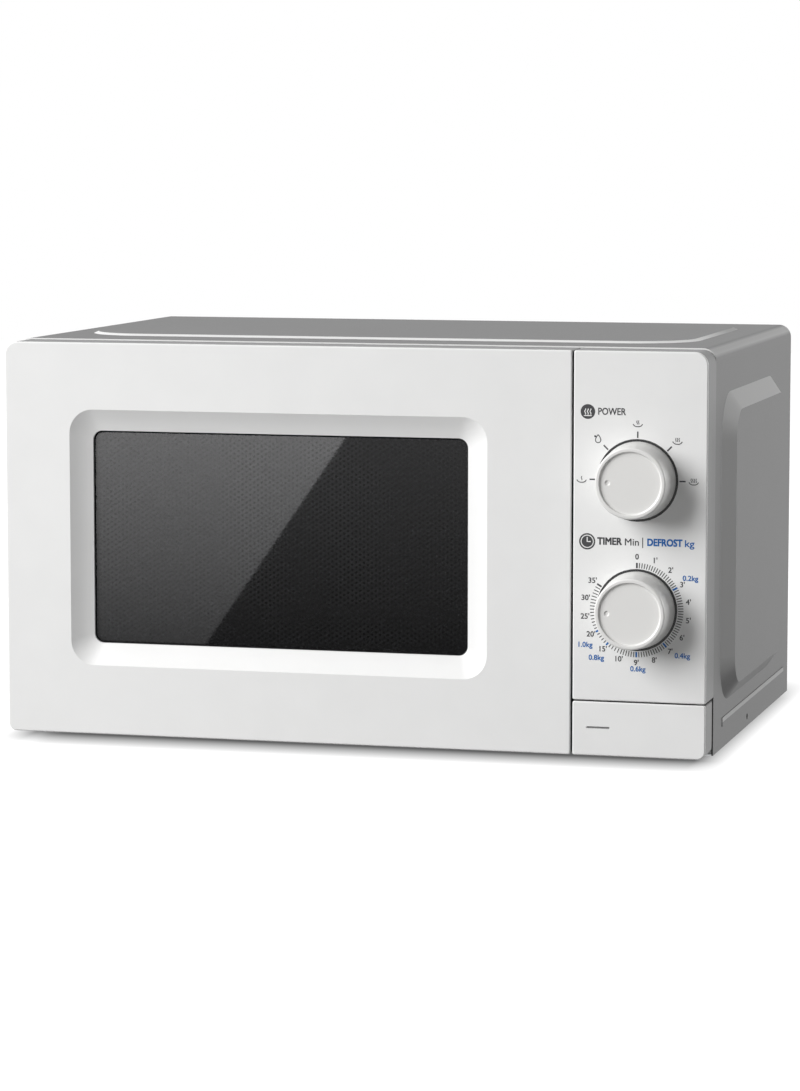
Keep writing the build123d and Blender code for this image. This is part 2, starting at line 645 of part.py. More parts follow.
def base_plate():
    """Tray under the oven with turned-up sides, foot holes and air slots below the works."""
    floor_y = (BODY_Y[0], BODY_Y[1] - SHEET)
    plate = block(INNER_X, floor_y, (BASE_Z, BASE_Z + SHEET))
    flange_y = (INNER_Y[0], INNER_Y[1])
    hole = disc(BODY_Y[0] + SIDE_HOLE_BACK, BASE_Z + SIDE_HOLE_HEIGHT, SIDE_HOLE_RADIUS)
    for edge, inside in ((INNER_X[0], INNER_X[0] + SHEET), (INNER_X[1] - SHEET, INNER_X[1])):
        flange = along_x(rect(flange_y, (BASE_Z, BASE_Z + BASE_FLANGE)) - hole, (edge, inside))
        plate += flange
    for x, y in foot_places():
        plate -= along_z(disc(x, y, FOOT_STEM_RADIUS + SHEET_FIT), (BASE_Z, BASE_Z + SHEET))
    vent_x = (BAY_X[0] + VENT_WIDTH, BAY_X[0] + VENT_WIDTH + VENT_LENGTH)
    vents = slot_rows(vent_x, BODY_Y[0] + FOOT_FROM_FRONT, BASE_VENT_ROWS)
    return plate - along_z(vents, (BASE_Z, BASE_Z + SHEET))


def feet():
    """Four rubber feet whose stems snap through the base plate."""
    clip = BASE_Z + SHEET + SHEET_FIT
    outline = profile((0, 0), (FOOT_TIP_RADIUS, 0, FOOT_ROUND), (FOOT_RADIUS, BASE_Z),
                      (FOOT_STEM_RADIUS, BASE_Z), (FOOT_STEM_RADIUS, clip), (FOOT_CLIP_RADIUS, clip),
                      (FOOT_STEM_RADIUS, clip + FOOT_CLIP_HEIGHT), (0, clip + FOOT_CLIP_HEIGHT))
    return Compound(children=[turned_z(outline, x, y) for x, y in foot_places()])


def cabinet_screws():
    """Pan-head screws that hold the rear hem to the back plate."""
    head = BODY_Y[1]
    screws = []
    for x, z in rear_screw_places():
        outline = profile((0, head - SCREW_LENGTH), (SCREW_RADIUS, head - SCREW_LENGTH), (SCREW_RADIUS, head),
                          (SCREW_HEAD_RADIUS, head), (SCREW_HEAD_RADIUS, head + SCREW_HEAD, SCREW_HEAD_ROUND),
                          (0, head + SCREW_HEAD))
        screws.append(turned_y(outline, x, z))
    return Compound(children=screws)


# Chassis plates and the cooking cavity
def hook_slot(z):
    """The opening in a sheet that a latch hook passes as the door swings and the latch lifts."""
    sides = (HOOK_X[0] - HOOK_SIDE_ROOM, HOOK_X[1] + HOOK_SWING_ROOM)
    return rect(sides, (z - BARB_BOTTOM - HOOK_END_ROOM, z + HOOK_ARM / 2 + HOOK_LIFT + HOOK_END_ROOM))


def chassis_outline():
    """Outline of the front and back plates inside the cabinet, between the base plate and the roof."""
    corner = CORNER_TOP - SHEET - SHEET_FIT
    return corner_rect(INNER_X, INNER_Z, 0, 0, corner, corner)


def front_plate():
    """Steel frame round the cavity's mouth, with openings for the latch, hinges, button and controls."""
    sheet = chassis_outline()
    sheet -= rect(CAVITY_X, CAVITY_Z, CAVITY_CORNER)
    for z in HOOK_Z:
        sheet -= hook_slot(z)
    for arm_z in (UPPER_ARM_Z, LOWER_ARM_Z):
        sheet -= rect(grow(span(HINGE_X, 2 * HINGE_ARM_HALF_WIDTH), SHEET_FIT), grow(arm_z, SHEET_FIT))
    for x in BUTTON_PEG_X:
        sheet -= disc(x, BUTTON_MID_Z, BUTTON_PEG_RADIUS + RUNNING_CLEARANCE)
    rib_z = span(BUTTON_MID_Z, BUTTON_RIB_HEIGHT)
    sheet -= rect(grow(BUTTON_RIB_X, BUTTON_RIB_ROOM), grow(rib_z, BUTTON_RIB_ROOM))
    window_x = grow(span(KNOB_X, TIMER_SIZE), CONTROL_WINDOW_MARGIN)
    window_z = (TIMER_Z - TIMER_SIZE / 2, POWER_Z + SELECTOR_SIZE / 2)
    sheet -= rect(window_x, grow(window_z, CONTROL_WINDOW_MARGIN))
    return along_y(sheet, (BODY_Y[0], BODY_Y[0] + PLATE))


def back_plate():
    """Rear sheet, dished out behind the cavity, with intake, exhaust and cord openings."""
    plate = along_y(chassis_outline(), BACK_PLATE_Y)
    behind = Plane(origin=(0, BACK_PLATE_Y[1], 0), x_dir=(-1, 0, 0), z_dir=(0, 1, 0))
    dish_x = grow((-CAVITY_X[1], -CAVITY_X[0]), -DISH_MARGIN)
    dish = pressed(behind, dish_x, grow(CAVITY_Z, -DISH_MARGIN), DISH_CORNER, DISH_CREST_CORNER,
                   DISH_SLOPE, REAR_DISH + SHEET)
    plate = plate + dish - Pos(0, -SHEET, 0) * dish
    openings = Sketch()
    for side in (-1, 1):
        openings += slot_rows(span(FAN_X + side * REAR_VENT_SPREAD, VENT_LENGTH), MAGNETRON_Z, REAR_VENT_ROWS)
    openings += disc(*cord_place(), BUSHING_RADIUS + SHEET_FIT)
    openings += Sketch() + [disc(x, z, SCREW_RADIUS + SHEET_FIT) for x, z in rear_screw_places()]
    return plate - along_y(openings, BACK_PLATE_Y)


def cord_place():
    """Where the mains cord would leave the back plate."""
    return (BODY_X[1] - BUSHING_FROM_RIGHT, BASE_Z + BUSHING_HEIGHT)


def cord_bushing():
    """Flanged bushing in the back plate, with the bore for the mains cord."""
    front = BACK_PLATE_Y[0] - BUSHING_BODY
    back = BACK_PLATE_Y[1] + BUSHING_FLANGE
    outline = profile((CORD_BORE_RADIUS, front), (BUSHING_RADIUS, front), (BUSHING_RADIUS, BACK_PLATE_Y[1]),
                      (BUSHING_FLANGE_RADIUS, BACK_PLATE_Y[1]), (BUSHING_FLANGE_RADIUS, back, BUSHING_ROUND),
                      (CORD_BORE_RADIUS, back, BUSHING_ROUND))
    return turned_y(outline, *cord_place())


def cavity_wrap():
    """Left wall, ceiling and right wall of the cooking cavity, bent from one sheet."""
    outer_x = grow(CAVITY_X, SHEET)
    outer_corner = CAVITY_CORNER + SHEET
    outer = corner_rect(outer_x, (CAVITY_Z[0] - SHEET, CAVITY_Z[1] + SHEET), 0, 0, outer_corner, outer_corner)
    inner = corner_rect(CAVITY_X, (CAVITY_Z[0] - SHEET, CAVITY_Z[1]), 0, 0, CAVITY_CORNER, CAVITY_CORNER)
    wrap = along_y(outer - inner, INNER_Y)
    right = (CAVITY_X[1], outer_x[1])
    left = (outer_x[0], CAVITY_X[0])
    wrap -= along_x(rect(span(MAGNETRON_Y, PORT_LENGTH), span(MAGNETRON_Z, PORT_HEIGHT)), right)
    lamp_slots = slot_rows(span(MAGNETRON_Y, VENT_LENGTH), CAVITY_Z[0] + LAMP_HEIGHT, 2)
    wrap -= along_x(lamp_slots, right)
    exhaust_y = span(INNER_Y[1] - 2 * VENT_LENGTH, VENT_LENGTH)
    exhaust = slot_rows(exhaust_y, CAVITY_Z[1] - 2 * VENT_LENGTH, AIR_SLOTS)
    return wrap - along_x(exhaust, left)


def cavity_floor():
    """Cavity floor with the pressed track that the rollers run in and a hole for the drive."""
    floor = block(CAVITY_X, INNER_Y, (CAVITY_Z[0] - SHEET, CAVITY_Z[0]))
    inside = ROLLER_CIRCLE - TRACK_HALF_WIDTH
    outside = ROLLER_CIRCLE + TRACK_HALF_WIDTH
    bed = CAVITY_Z[0] - TRACK_DEPTH
    track = disc(TURN_X, TURN_Y, outside) - disc(TURN_X, TURN_Y, inside)
    backing = disc(TURN_X, TURN_Y, outside + SHEET) - disc(TURN_X, TURN_Y, inside - SHEET)
    floor += along_z(backing, (bed - SHEET, CAVITY_Z[0] - SHEET))
    floor -= along_z(track, (bed, CAVITY_Z[0]))
    hole = disc(TURN_X, TURN_Y, DRIVE_SHAFT_RADIUS + DRIVE_HOLE_GAP)
    return floor - along_z(hole, (CAVITY_Z[0] - SHEET, CAVITY_Z[0]))


# Turntable and its drive
def turntable_motor():
    """Flat synchronous motor hung by two ears under the cavity floor."""
    top = CAVITY_Z[0] - SHEET
    can = along_z(disc(TURN_X, TURN_Y, MOTOR_RADIUS), (top - MOTOR_HEIGHT, top))
    ears = SlotOverall(2 * MOTOR_EAR_REACH, MOTOR_EAR_WIDTH)
    ears -= [disc(side * (MOTOR_EAR_REACH - MOTOR_EAR_WIDTH / 2), 0, SCREW_RADIUS) for side in (-1, 1)]
    can += along_z(Pos(TURN_X, TURN_Y) * ears, (top - MOTOR_EAR_THICKNESS, top))
    bore = disc(TURN_X, TURN_Y, DRIVE_SHAFT_RADIUS + RUNNING_CLEARANCE)
    return can - along_z(bore, (top - DRIVE_SHAFT_SEAT, top))


def plate_underside():
    """Height of the turntable's underside on its rollers."""
    return CAVITY_Z[0] - TRACK_DEPTH + 2 * ROLLER_GAP + 2 * ROLLER_RADIUS


def drive_shaft():
    """Motor shaft, flatted where the coupler sits on it."""
    bottom = CAVITY_Z[0] - SHEET - DRIVE_SHAFT_SEAT + RUNNING_CLEARANCE
    shoulder = CAVITY_Z[0] + COUPLER_LIFT
    top = plate_underside() - COUPLER_CAP
    shaft = along_z(disc(TURN_X, TURN_Y, DRIVE_SHAFT_RADIUS), (bottom, shoulder))
    return shaft + along_z(Pos(TURN_X, TURN_Y) * flatted(0.0), (shoulder, top))


def flatted(clearance):
    """Section of the drive shaft with one flat."""
    radius = DRIVE_SHAFT_RADIUS + clearance
    keep = rect((-radius, radius), (-radius, DRIVE_SHAFT_FLAT + clearance))
    return Circle(radius) & keep


def turntable_coupler():
    """Three-armed hub that carries the turntable round."""
    bottom = CAVITY_Z[0] + COUPLER_LIFT
    top = plate_underside()
    hub = along_z(disc(TURN_X, TURN_Y, COUPLER_HUB_RADIUS), (bottom, top))
    arm = slot((0, COUPLER_ARM_REACH), span(0, COUPLER_ARM_WIDTH))
    turns = [COUPLER_ARM_TURN + 360.0 / COUPLER_ARMS * number for number in range(COUPLER_ARMS)]
    arms = Sketch() + [Rot(0, 0, turn) * arm for turn in turns]
    hub += along_z(Pos(TURN_X, TURN_Y) * arms, (top - COUPLER_ARM_HEIGHT, top))
    socket = Pos(TURN_X, TURN_Y) * flatted(RUNNING_CLEARANCE)
    return hub - along_z(socket, (bottom, top - COUPLER_CAP + RUNNING_CLEARANCE))


def glass_turntable():
    """Round glass dish with a raised rim and a locating ring below."""
    bottom = plate_underside()
    top = bottom + TURNTABLE_THICKNESS
    crest = top + TURNTABLE_RIM
    well = TURNTABLE_RADIUS - TURNTABLE_RIM_SLOPE
    ring = (LUG_RING_RADIUS - LUG_RING_WIDTH / 2, LUG_RING_RADIUS + LUG_RING_WIDTH / 2)
    outline = profile((0, bottom), (ring[0], bottom), (ring[0], bottom - LUG_RING_DEPTH),
                      (ring[1], bottom - LUG_RING_DEPTH), (ring[1], bottom),
                      (well, bottom, TURNTABLE_HEEL_ROUND), (TURNTABLE_RADIUS, crest, TURNTABLE_LIP_ROUND),
                      (TURNTABLE_RADIUS - TURNTABLE_THICKNESS, crest, TURNTABLE_LIP_ROUND),
                      (well - TURNTABLE_THICKNESS, top, TURNTABLE_HEEL_ROUND), (0, top))
    return turned_z(outline, TURN_X, TURN_Y)


def roller_height():
    """Height of the roller axles."""
    return CAVITY_Z[0] - TRACK_DEPTH + ROLLER_GAP + ROLLER_RADIUS


def roller_angle(number):
    """Direction of a roller round the ring, in degrees."""
    return 90.0 + 360.0 / ROLLER_COUNT * number


def roller_ring():
    """Ring with outward axles that the rollers run on, each capped at its end."""
    outer = ROLLER_CIRCLE - ROLLER_WIDTH / 2 - RING_ROLLER_GAP
    inner = outer - RING_WIDTH
    height = span(roller_height(), RING_HEIGHT)
    outline = profile((inner, height[0]), (outer, height[0]), (outer, height[1], RING_ROUND),
                      (inner, height[1], RING_ROUND))
    ring = turned_z(outline, 0, 0)
    end = ROLLER_CIRCLE + ROLLER_WIDTH / 2 + RUNNING_CLEARANCE
    axle = along_x(disc(0, roller_height(), AXLE_RADIUS), (outer - RING_WIDTH / 2, end))
    axle += along_x(disc(0, roller_height(), AXLE_CAP_RADIUS), (end, end + AXLE_CAP))
    for number in range(ROLLER_COUNT):
        ring += Rot(0, 0, roller_angle(number)) * axle
    return Pos(TURN_X, TURN_Y, 0) * ring


def roller(number):
    """A small wheel with rounded treads on one of the ring's axles."""
    width = span(ROLLER_CIRCLE, ROLLER_WIDTH)
    bore = AXLE_RADIUS + RUNNING_CLEARANCE
    outline = profile((width[0], bore), (width[1], bore), (width[1], ROLLER_RADIUS, ROLLER_ROUND),
                      (width[0], ROLLER_RADIUS, ROLLER_ROUND))
    wheel = revolve(outline, Axis.X)
    return Pos(TURN_X, TURN_Y, roller_height()) * Rot(0, 0, roller_angle(number)) * wheel


# Door
def window_cove():
    """The slightly hollow funnel from the door's face down to the window opening."""
    sections = []
    for step in range(COVE_STEPS + 1):
        share = step / COVE_STEPS
        inset = COVE_WIDTH * share
        depth = COVE_DEPTH * share * (1 + COVE_HOLLOW * (1 - share))
        corner = WINDOW_CORNER + (COVE_CORNER - WINDOW_CORNER) * share
        outline = rect(grow(WINDOW_X, -inset), grow(WINDOW_Z, -inset), corner)
        sections.append(Plane.XZ.offset(-FACE_Y - depth) * outline)
    return loft(sections)


def frame_boss_places():
    """Screw bosses between the window and the rim of the door frame."""
    upper = middle((WINDOW_Z[1], CHOKE_Z[1])) + WALL
    lower = middle((WINDOW_Z[0], CHOKE_Z[0]))
    across = (WINDOW_X[0], middle(WINDOW_X), WINDOW_X[1])
    return [(x, z) for x in across for z in (lower, upper)]


def door_frame():
    """Moulded front of the door: a coved window in a hollow shell with bosses, stops and hinge blocks."""
    outline = corner_rect(DOOR_X, FRONT_Z, CORNER_BOTTOM, CORNER_SEAM, CORNER_SEAM, CORNER_TOP)
    shell = along_y(outline, (FACE_Y, DOOR_BACK_Y))
    shell = fillet(shell.faces().sort_by(Axis.Y)[0].edges(), EDGE_ROUND)
    inside = corner_rect(grow(DOOR_X, -WALL), grow(FRONT_Z, -WALL), CORNER_BOTTOM - WALL, 0, 0,
                         CORNER_TOP - WALL)
    shell -= along_y(inside, (FACE_Y + WALL, DOOR_BACK_Y))
    surround = rect(grow(WINDOW_X, WALL), grow(WINDOW_Z, WALL), WINDOW_CORNER + WALL)
    shell += along_y(surround, (FACE_Y + WALL, GLASS_Y[0]))
    shell -= window_cove()
    shell -= along_y(rect(OPENING_X, OPENING_Z, COVE_CORNER), (FACE_Y + COVE_DEPTH, GLASS_Y[0]))
    for x, z in frame_boss_places():
        shell += along_y(disc(x, z, FRAME_BOSS_RADIUS), (FACE_Y + WALL, CHOKE_Y[0]))
    stop_x = (LATCH_BAR_X[0], DOOR_X[1] - WALL)
    for stop_z in ((LATCH_BAR_Z[0] - LATCH_SLIDE_GAP - LATCH_STOP, LATCH_BAR_Z[0] - LATCH_SLIDE_GAP),
                   (LATCH_SPRING_Z[1], LATCH_SPRING_Z[1] + LATCH_STOP)):
        shell += block(stop_x, LATCH_BAR_Y, stop_z)
    block_x = (DOOR_X[0], HINGE_X + HINGE_BUSH_RADIUS + HINGE_BLOCK_MARGIN)
    block_y = (FACE_Y + WALL, HINGE_Y + HINGE_BUSH_RADIUS + HINGE_BLOCK_MARGIN)
    for block_z in ((UPPER_BUSH_Z[0], FRONT_Z[1] - WALL), (FRONT_Z[0] + WALL, LOWER_BUSH_Z[1])):
        shell += block(block_x, block_y, block_z) & along_y(outline, (FACE_Y, DOOR_BACK_Y))
    for bush_z in (UPPER_BUSH_Z, LOWER_BUSH_Z):
        shell -= along_z(disc(HINGE_X, HINGE_Y, HINGE_BUSH_RADIUS), bush_z)
    for arm_z in (UPPER_ARM_Z, LOWER_ARM_Z):
        slot_y = (HINGE_Y - HINGE_SLOT_FRONT, DOOR_BACK_Y)
        shell -= block((DOOR_X[0], DOOR_X[0] + WALL), slot_y, grow(arm_z, HINGE_BUSH_GAP))
    corner = rect((DOOR_X[0], HINGE_X), (HINGE_Y, DOOR_BACK_Y)) - disc(HINGE_X, HINGE_Y, SWING_RADIUS)
    return shell - along_z(corner, FRONT_Z)


def door_glass():
    """Tinted window pane behind the cove's lip."""
    corner = COVE_CORNER + GLASS_OVERLAP
    return along_y(rect(grow(OPENING_X, GLASS_OVERLAP), grow(OPENING_Z, GLASS_OVERLAP), corner), GLASS_Y)


def comb(limits):
    """Evenly spaced places along the middle of an edge, clear of its ends."""
    room = limits[1] - limits[0] - 2 * CHOKE_SLIT_PITCH
    count = int(room // CHOKE_SLIT_PITCH) + 1
    return [middle(limits) + CHOKE_SLIT_PITCH * (step - (count - 1) / 2) for step in range(count)]


def door_choke():
    """Stamped steel pan whose slotted channel keeps the microwaves in."""
    pan = along_y(rect(CHOKE_X, CHOKE_Z, CHOKE_CORNER), CHOKE_Y)
    inner_x = grow(CHOKE_X, -CHOKE_SHEET)
    inner_z = grow(CHOKE_Z, -CHOKE_SHEET)
    seam_x = grow(OPENING_X, GLASS_OVERLAP + SCREEN_SEAM)
    seam_z = grow(OPENING_Z, GLASS_OVERLAP + SCREEN_SEAM)
    base = CHOKE_Y[0] + CHOKE_SHEET
    lip = CHOKE_Y[1] - CHOKE_SHEET
    channel = rect(inner_x, inner_z, CHOKE_CORNER - CHOKE_SHEET)
    channel -= rect(grow(seam_x, CHOKE_SHEET), grow(seam_z, CHOKE_SHEET))
    pan -= along_y(channel, (base, lip))
    mouth = rect(grow(inner_x, -CHOKE_LIP), grow(inner_z, -CHOKE_LIP))
    mouth -= rect(grow(seam_x, CHOKE_SHEET), grow(seam_z, CHOKE_SHEET))
    pan -= along_y(mouth, (lip, CHOKE_Y[1]))
    pan -= along_y(rect(seam_x, seam_z), (base, CHOKE_Y[1]))
    pan -= along_y(rect(grow(OPENING_X, GLASS_OVERLAP), grow(OPENING_Z, GLASS_OVERLAP)), (CHOKE_Y[0], base))
    slits = [rect(span(x, CHOKE_SLIT), (edge, edge + CHOKE_LIP)) for x in comb(inner_x)
             for edge in (inner_z[0], inner_z[1] - CHOKE_LIP)]
    slits += [rect((edge, edge + CHOKE_LIP), span(z, CHOKE_SLIT)) for z in comb(inner_z)
              for edge in (inner_x[0], inner_x[1] - CHOKE_LIP)]
    return pan - along_y(Sketch() + slits, (lip, CHOKE_Y[1]))


def door_screen():
    """Sheet that carries the perforated viewing screen."""
    seam = GLASS_OVERLAP + SCREEN_SEAM - SHEET_FIT
    base = CHOKE_Y[0] + CHOKE_SHEET
    return along_y(rect(grow(OPENING_X, seam), grow(OPENING_Z, seam)), (base, base + CHOKE_SHEET))


def door_film():
    """Clear sheet that keeps splashes off the screen."""
    seam = GLASS_OVERLAP + SCREEN_SEAM - SHEET_FIT
    film_y = (CHOKE_Y[1] - FILM_THICKNESS, CHOKE_Y[1])
    return along_y(rect(grow(OPENING_X, seam), grow(OPENING_Z, seam)), film_y)


def door_inner_cover():
    """Moulded frame that closes the choke from behind and shows the film through its opening."""
    sides = (CHOKE_X[0], DOOR_X[1] - WALL - SHEET_FIT)
    ring = rect(sides, CHOKE_Z, CHOKE_CORNER)
    ring -= rect(grow(OPENING_X, GLASS_OVERLAP), grow(OPENING_Z, GLASS_OVERLAP), COVE_CORNER)
    for z in HOOK_Z:
        ring -= hook_slot(z)
    return along_y(ring, (CHOKE_Y[1], CHOKE_Y[1] + COVER_THICKNESS))


def hinge(arm_z, bush_z):
    """Bracket behind the front plate with an arm that carries the door's pin."""
    plate_back = BODY_Y[0] + PLATE
    arm = rect(span(HINGE_X, 2 * HINGE_ARM_HALF_WIDTH), (HINGE_Y, plate_back))
    arm += disc(HINGE_X, HINGE_Y, HINGE_ARM_HALF_WIDTH)
    bracket = along_z(arm, arm_z)
    flange = rect(span(HINGE_X, 2 * HINGE_FLANGE_HALF_WIDTH), grow(arm_z, HINGE_FLANGE_REACH))
    bracket += along_y(flange, (plate_back, plate_back + HINGE_FLANGE_THICKNESS))
    far_end = bush_z[1] - HINGE_BUSH_GAP if bush_z[0] > arm_z[0] else bush_z[0] + HINGE_BUSH_GAP
    pin = sorted((middle(arm_z), far_end))
    return bracket + along_z(disc(HINGE_X, HINGE_Y, HINGE_PIN_RADIUS), pin)


def hinge_bushes():
    """Nylon bushes in the door that turn on the hinge pins."""
    ring = disc(HINGE_X, HINGE_Y, HINGE_BUSH_RADIUS)
    ring -= disc(HINGE_X, HINGE_Y, HINGE_PIN_RADIUS + RUNNING_CLEARANCE)
    return Compound(children=[along_z(ring, UPPER_BUSH_Z), along_z(ring, LOWER_BUSH_Z)])


# Latch and interlocks
def latch_hooks():
    """Sliding bar in the door with two barbed hooks that reach through the front plate."""
    bar = block(LATCH_BAR_X, LATCH_BAR_Y, LATCH_BAR_Z)
    root = LATCH_BAR_Y[1] - LATCH_BAR_DEPTH / 2
    half = HOOK_ARM / 2
    for z in HOOK_Z:
        barb = HOOK_TIP_Y - HOOK_BARB
        outline = profile((root, z - half), (barb, z - half), (barb, z - BARB_BOTTOM),
                          (HOOK_TIP_Y - HOOK_NOSE, z - BARB_BOTTOM, HOOK_ROUND), (HOOK_TIP_Y, z, HOOK_ROUND),
                          (HOOK_TIP_Y, z + half, HOOK_ROUND), (root, z + half))
        bar += along_x(outline, HOOK_X)
    return bar


def latch_spring():
    """Coil that presses the latch bar down."""
    start = (LATCH_X, middle(LATCH_BAR_Y), LATCH_SPRING_Z[0] + SPRING_END_GAP)
    radius = LATCH_BAR_WIDTH / 2 - 2 * SPRING_WIRE_RADIUS
    return coil(start, (0, 0, 1), LATCH_SPRING_LENGTH - 2 * SPRING_END_GAP, radius)


def latch_board():
    """Moulded board behind the front plate with the keepers, the lever's pin and the switch seats."""
    back = INNER_Y[0] + LATCH_BOARD_DEPTH
    board = along_x(rect((INNER_Y[0], back), BOARD_Z, LATCH_BOARD_CORNER), BOARD_X)
    flange_x = (BOARD_X[0] - LATCH_BOARD_FLANGE, BOARD_X[1])
    board += block(flange_x, (INNER_Y[0], INNER_Y[0] + LATCH_BOARD_THICKNESS), BOARD_Z)
    peg_x = (BOARD_X[1], BOARD_X[1] + SWITCH_THICKNESS)
    keeper_back = HOOK_TIP_Y - HOOK_BARB - KEEPER_GAP
    for z in HOOK_Z:
        top = z - BARB_BOTTOM - KEEPER_GAP
        keeper_x = (BOARD_X[1], LEVER_X[0] - KEEPER_GAP)
        board += block(keeper_x, (keeper_back - KEEPER_DEPTH, keeper_back), (top - KEEPER_HEIGHT, top))
        for y, peg_z in switch_holes(z):
            board += along_x(disc(y, peg_z, SWITCH_HOLE_RADIUS - RUNNING_CLEARANCE), peg_x)
    pin = along_x(disc(LEVER_Y, LEVER_Z, LEVER_PIN_RADIUS), (BOARD_X[1], LEVER_X[1]))
    collar = along_x(disc(LEVER_Y, LEVER_Z, LEVER_COLLAR_RADIUS), (BOARD_X[1], LEVER_X[0] - LEVER_GAP))
    return board + pin + collar


def switch_front():
    """Front face of both interlock switches."""
    return HOOK_TIP_Y + SWITCH_PLUNGER_REACH + LEVER_GAP


def switch_holes(z):
    """The two pegs that hold a switch on the board."""
    y = switch_front() + SWITCH_DEPTH - 2 * SWITCH_HOLE_RADIUS
    return [(y, z - SWITCH_LENGTH / 3), (y, z + SWITCH_LENGTH / 3)]


def interlock_switch(z):
    """Small snap-action switch whose plunger faces a hook's tip."""
    front = switch_front()
    width = (BOARD_X[1], BOARD_X[1] + SWITCH_THICKNESS)
    case = rect((front, front + SWITCH_DEPTH), span(z, SWITCH_LENGTH), SWITCH_CORNER)
    case -= Sketch() + [disc(y, peg_z, SWITCH_HOLE_RADIUS) for y, peg_z in switch_holes(z)]
    switch = along_x(case, width)
    switch += along_y(disc(LATCH_X, z, SWITCH_PLUNGER_RADIUS), (front - SWITCH_PLUNGER_REACH, front))
    tab = rect((front + SWITCH_DEPTH, front + SWITCH_DEPTH + BLADE_LENGTH), span(0, BLADE_WIDTH))
    tabs = Sketch() + [Pos(0, z + offset) * tab for offset in (-SWITCH_LENGTH / 3, 0.0, SWITCH_LENGTH / 3)]
    return switch + along_x(tabs, span(middle(width), SHEET))


def release_lever():
    """Bell crank that the button's rib turns to lift the latch hooks."""
    tip_top = HOOK_Z[0] - BARB_BOTTOM - LEVER_GAP
    tip_back = HOOK_TIP_Y - HOOK_NOSE
    arm = LEVER_ARM / 2
    crank = disc(LEVER_Y, LEVER_Z, LEVER_HUB_RADIUS)
    crank += rect((LEVER_FACE_Y, LEVER_Y + arm), (BUTTON_MID_Z - LEVER_PAD_LENGTH / 2, LEVER_Z))
    crank += profile((LEVER_Y, LEVER_Z - arm), (LEVER_Y + arm, LEVER_Z - arm),
                     (tip_back, tip_top - LEVER_ARM), (tip_back, tip_top, LEVER_ROUND),
                     (tip_back - LEVER_ARM, tip_top, LEVER_ROUND), (LEVER_Y, LEVER_Z + arm))
    crank -= disc(LEVER_Y, LEVER_Z, LEVER_PIN_RADIUS + RUNNING_CLEARANCE)
    lever = along_x(crank, LEVER_X)
    pad_z = span(BUTTON_MID_Z, LEVER_PAD_LENGTH)
    return lever + block((LEVER_X[0], BUTTON_RIB_X[1]), (LEVER_FACE_Y, LEVER_Y + arm), pad_z)


# Control panel, knobs and button
def control_panel():
    """Moulded panel with a round recess for each knob."""
    outline = corner_rect(PANEL_X, PANEL_Z, CORNER_SEAM, CORNER_SEAM, CORNER_TOP, CORNER_SEAM)
    panel = along_y(outline, (FACE_Y, BODY_Y[0]))
    panel = fillet(panel.faces().sort_by(Axis.Y)[0].edges(), EDGE_ROUND)
    inside = corner_rect(grow(PANEL_X, -WALL), grow(PANEL_Z, -WALL), 0, 0, CORNER_TOP - WALL, 0)
    panel -= along_y(inside, (FACE_Y + PANEL_WALL, BODY_Y[0]))
    for z in (POWER_Z, TIMER_Z):
        panel -= along_y(disc(KNOB_X, z, KNOB_RECESS_RADIUS), (FACE_Y, FACE_Y + KNOB_RECESS_DEPTH))
        panel -= along_y(disc(KNOB_X, z, PANEL_HOLE_RADIUS), (FACE_Y, FACE_Y + PANEL_WALL))
    return panel


def knob(z):
    """Turned knob: tapered skirt, rounded rim, dished face with one dot, hollow behind with a hub."""
    base = FACE_Y + KNOB_RECESS_DEPTH - KNOB_GAP
    rim = FACE_Y - KNOB_REACH
    face = rim + KNOB_DISH_DEPTH
    back = face + KNOB_FACE_THICKNESS
    wall = KNOB_BASE_RADIUS - KNOB_WALL
    bore = SHAFT_RADIUS + RUNNING_CLEARANCE
    outline = profile((0, face), (KNOB_DISH_RADIUS, face, KNOB_DISH_ROUND),
                      (KNOB_DISH_RADIUS, rim, KNOB_LIP_ROUND), (KNOB_RIM_RADIUS, rim, KNOB_RIM_ROUND),
                      (KNOB_BASE_RADIUS, base), (wall, base), (KNOB_RIM_RADIUS - KNOB_WALL, back),
                      (KNOB_HUB_RADIUS, back), (KNOB_HUB_RADIUS, base), (bore, base), (bore, back), (0, back))
    dimple = profile((0, face), (KNOB_DOT_RADIUS, face), (KNOB_DOT_RADIUS / 2, face + KNOB_DOT_DEPTH),
                     (0, face + KNOB_DOT_DEPTH))
    return turned_y(outline, KNOB_X, z) - turned_y(dimple, KNOB_X - KNOB_DOT_OFFSET, z)


def knob_shaft(z):
    """Steel shaft between a knob's hub and the unit behind the panel."""
    front = FACE_Y - KNOB_REACH + KNOB_DISH_DEPTH + KNOB_FACE_THICKNESS + RUNNING_CLEARANCE
    return along_y(disc(KNOB_X, z, SHAFT_RADIUS), (front, FACE_Y + PANEL_WALL + SHAFT_SEAT))


def control_unit(z, size, depth, corner):
    """Closed case of a rotary control against the back of the panel, bored for its shaft."""
    front = FACE_Y + PANEL_WALL
    case = along_y(rect(span(KNOB_X, size), span(z, size), corner), (front, front + depth))
    bore = disc(KNOB_X, z, SHAFT_RADIUS + RUNNING_CLEARANCE)
    return case - along_y(bore, (front, front + SHAFT_BORE_DEPTH))


def timer_unit():
    """Spring-wound timer with its bell behind."""
    back = FACE_Y + PANEL_WALL + TIMER_DEPTH
    bell = profile((0, back), (BELL_RADIUS, back), (BELL_RADIUS, back + BELL_DEPTH, BELL_ROUND),
                   (0, back + BELL_DEPTH))
    return control_unit(TIMER_Z, TIMER_SIZE, TIMER_DEPTH, TIMER_CORNER) + turned_y(bell, KNOB_X, TIMER_Z)


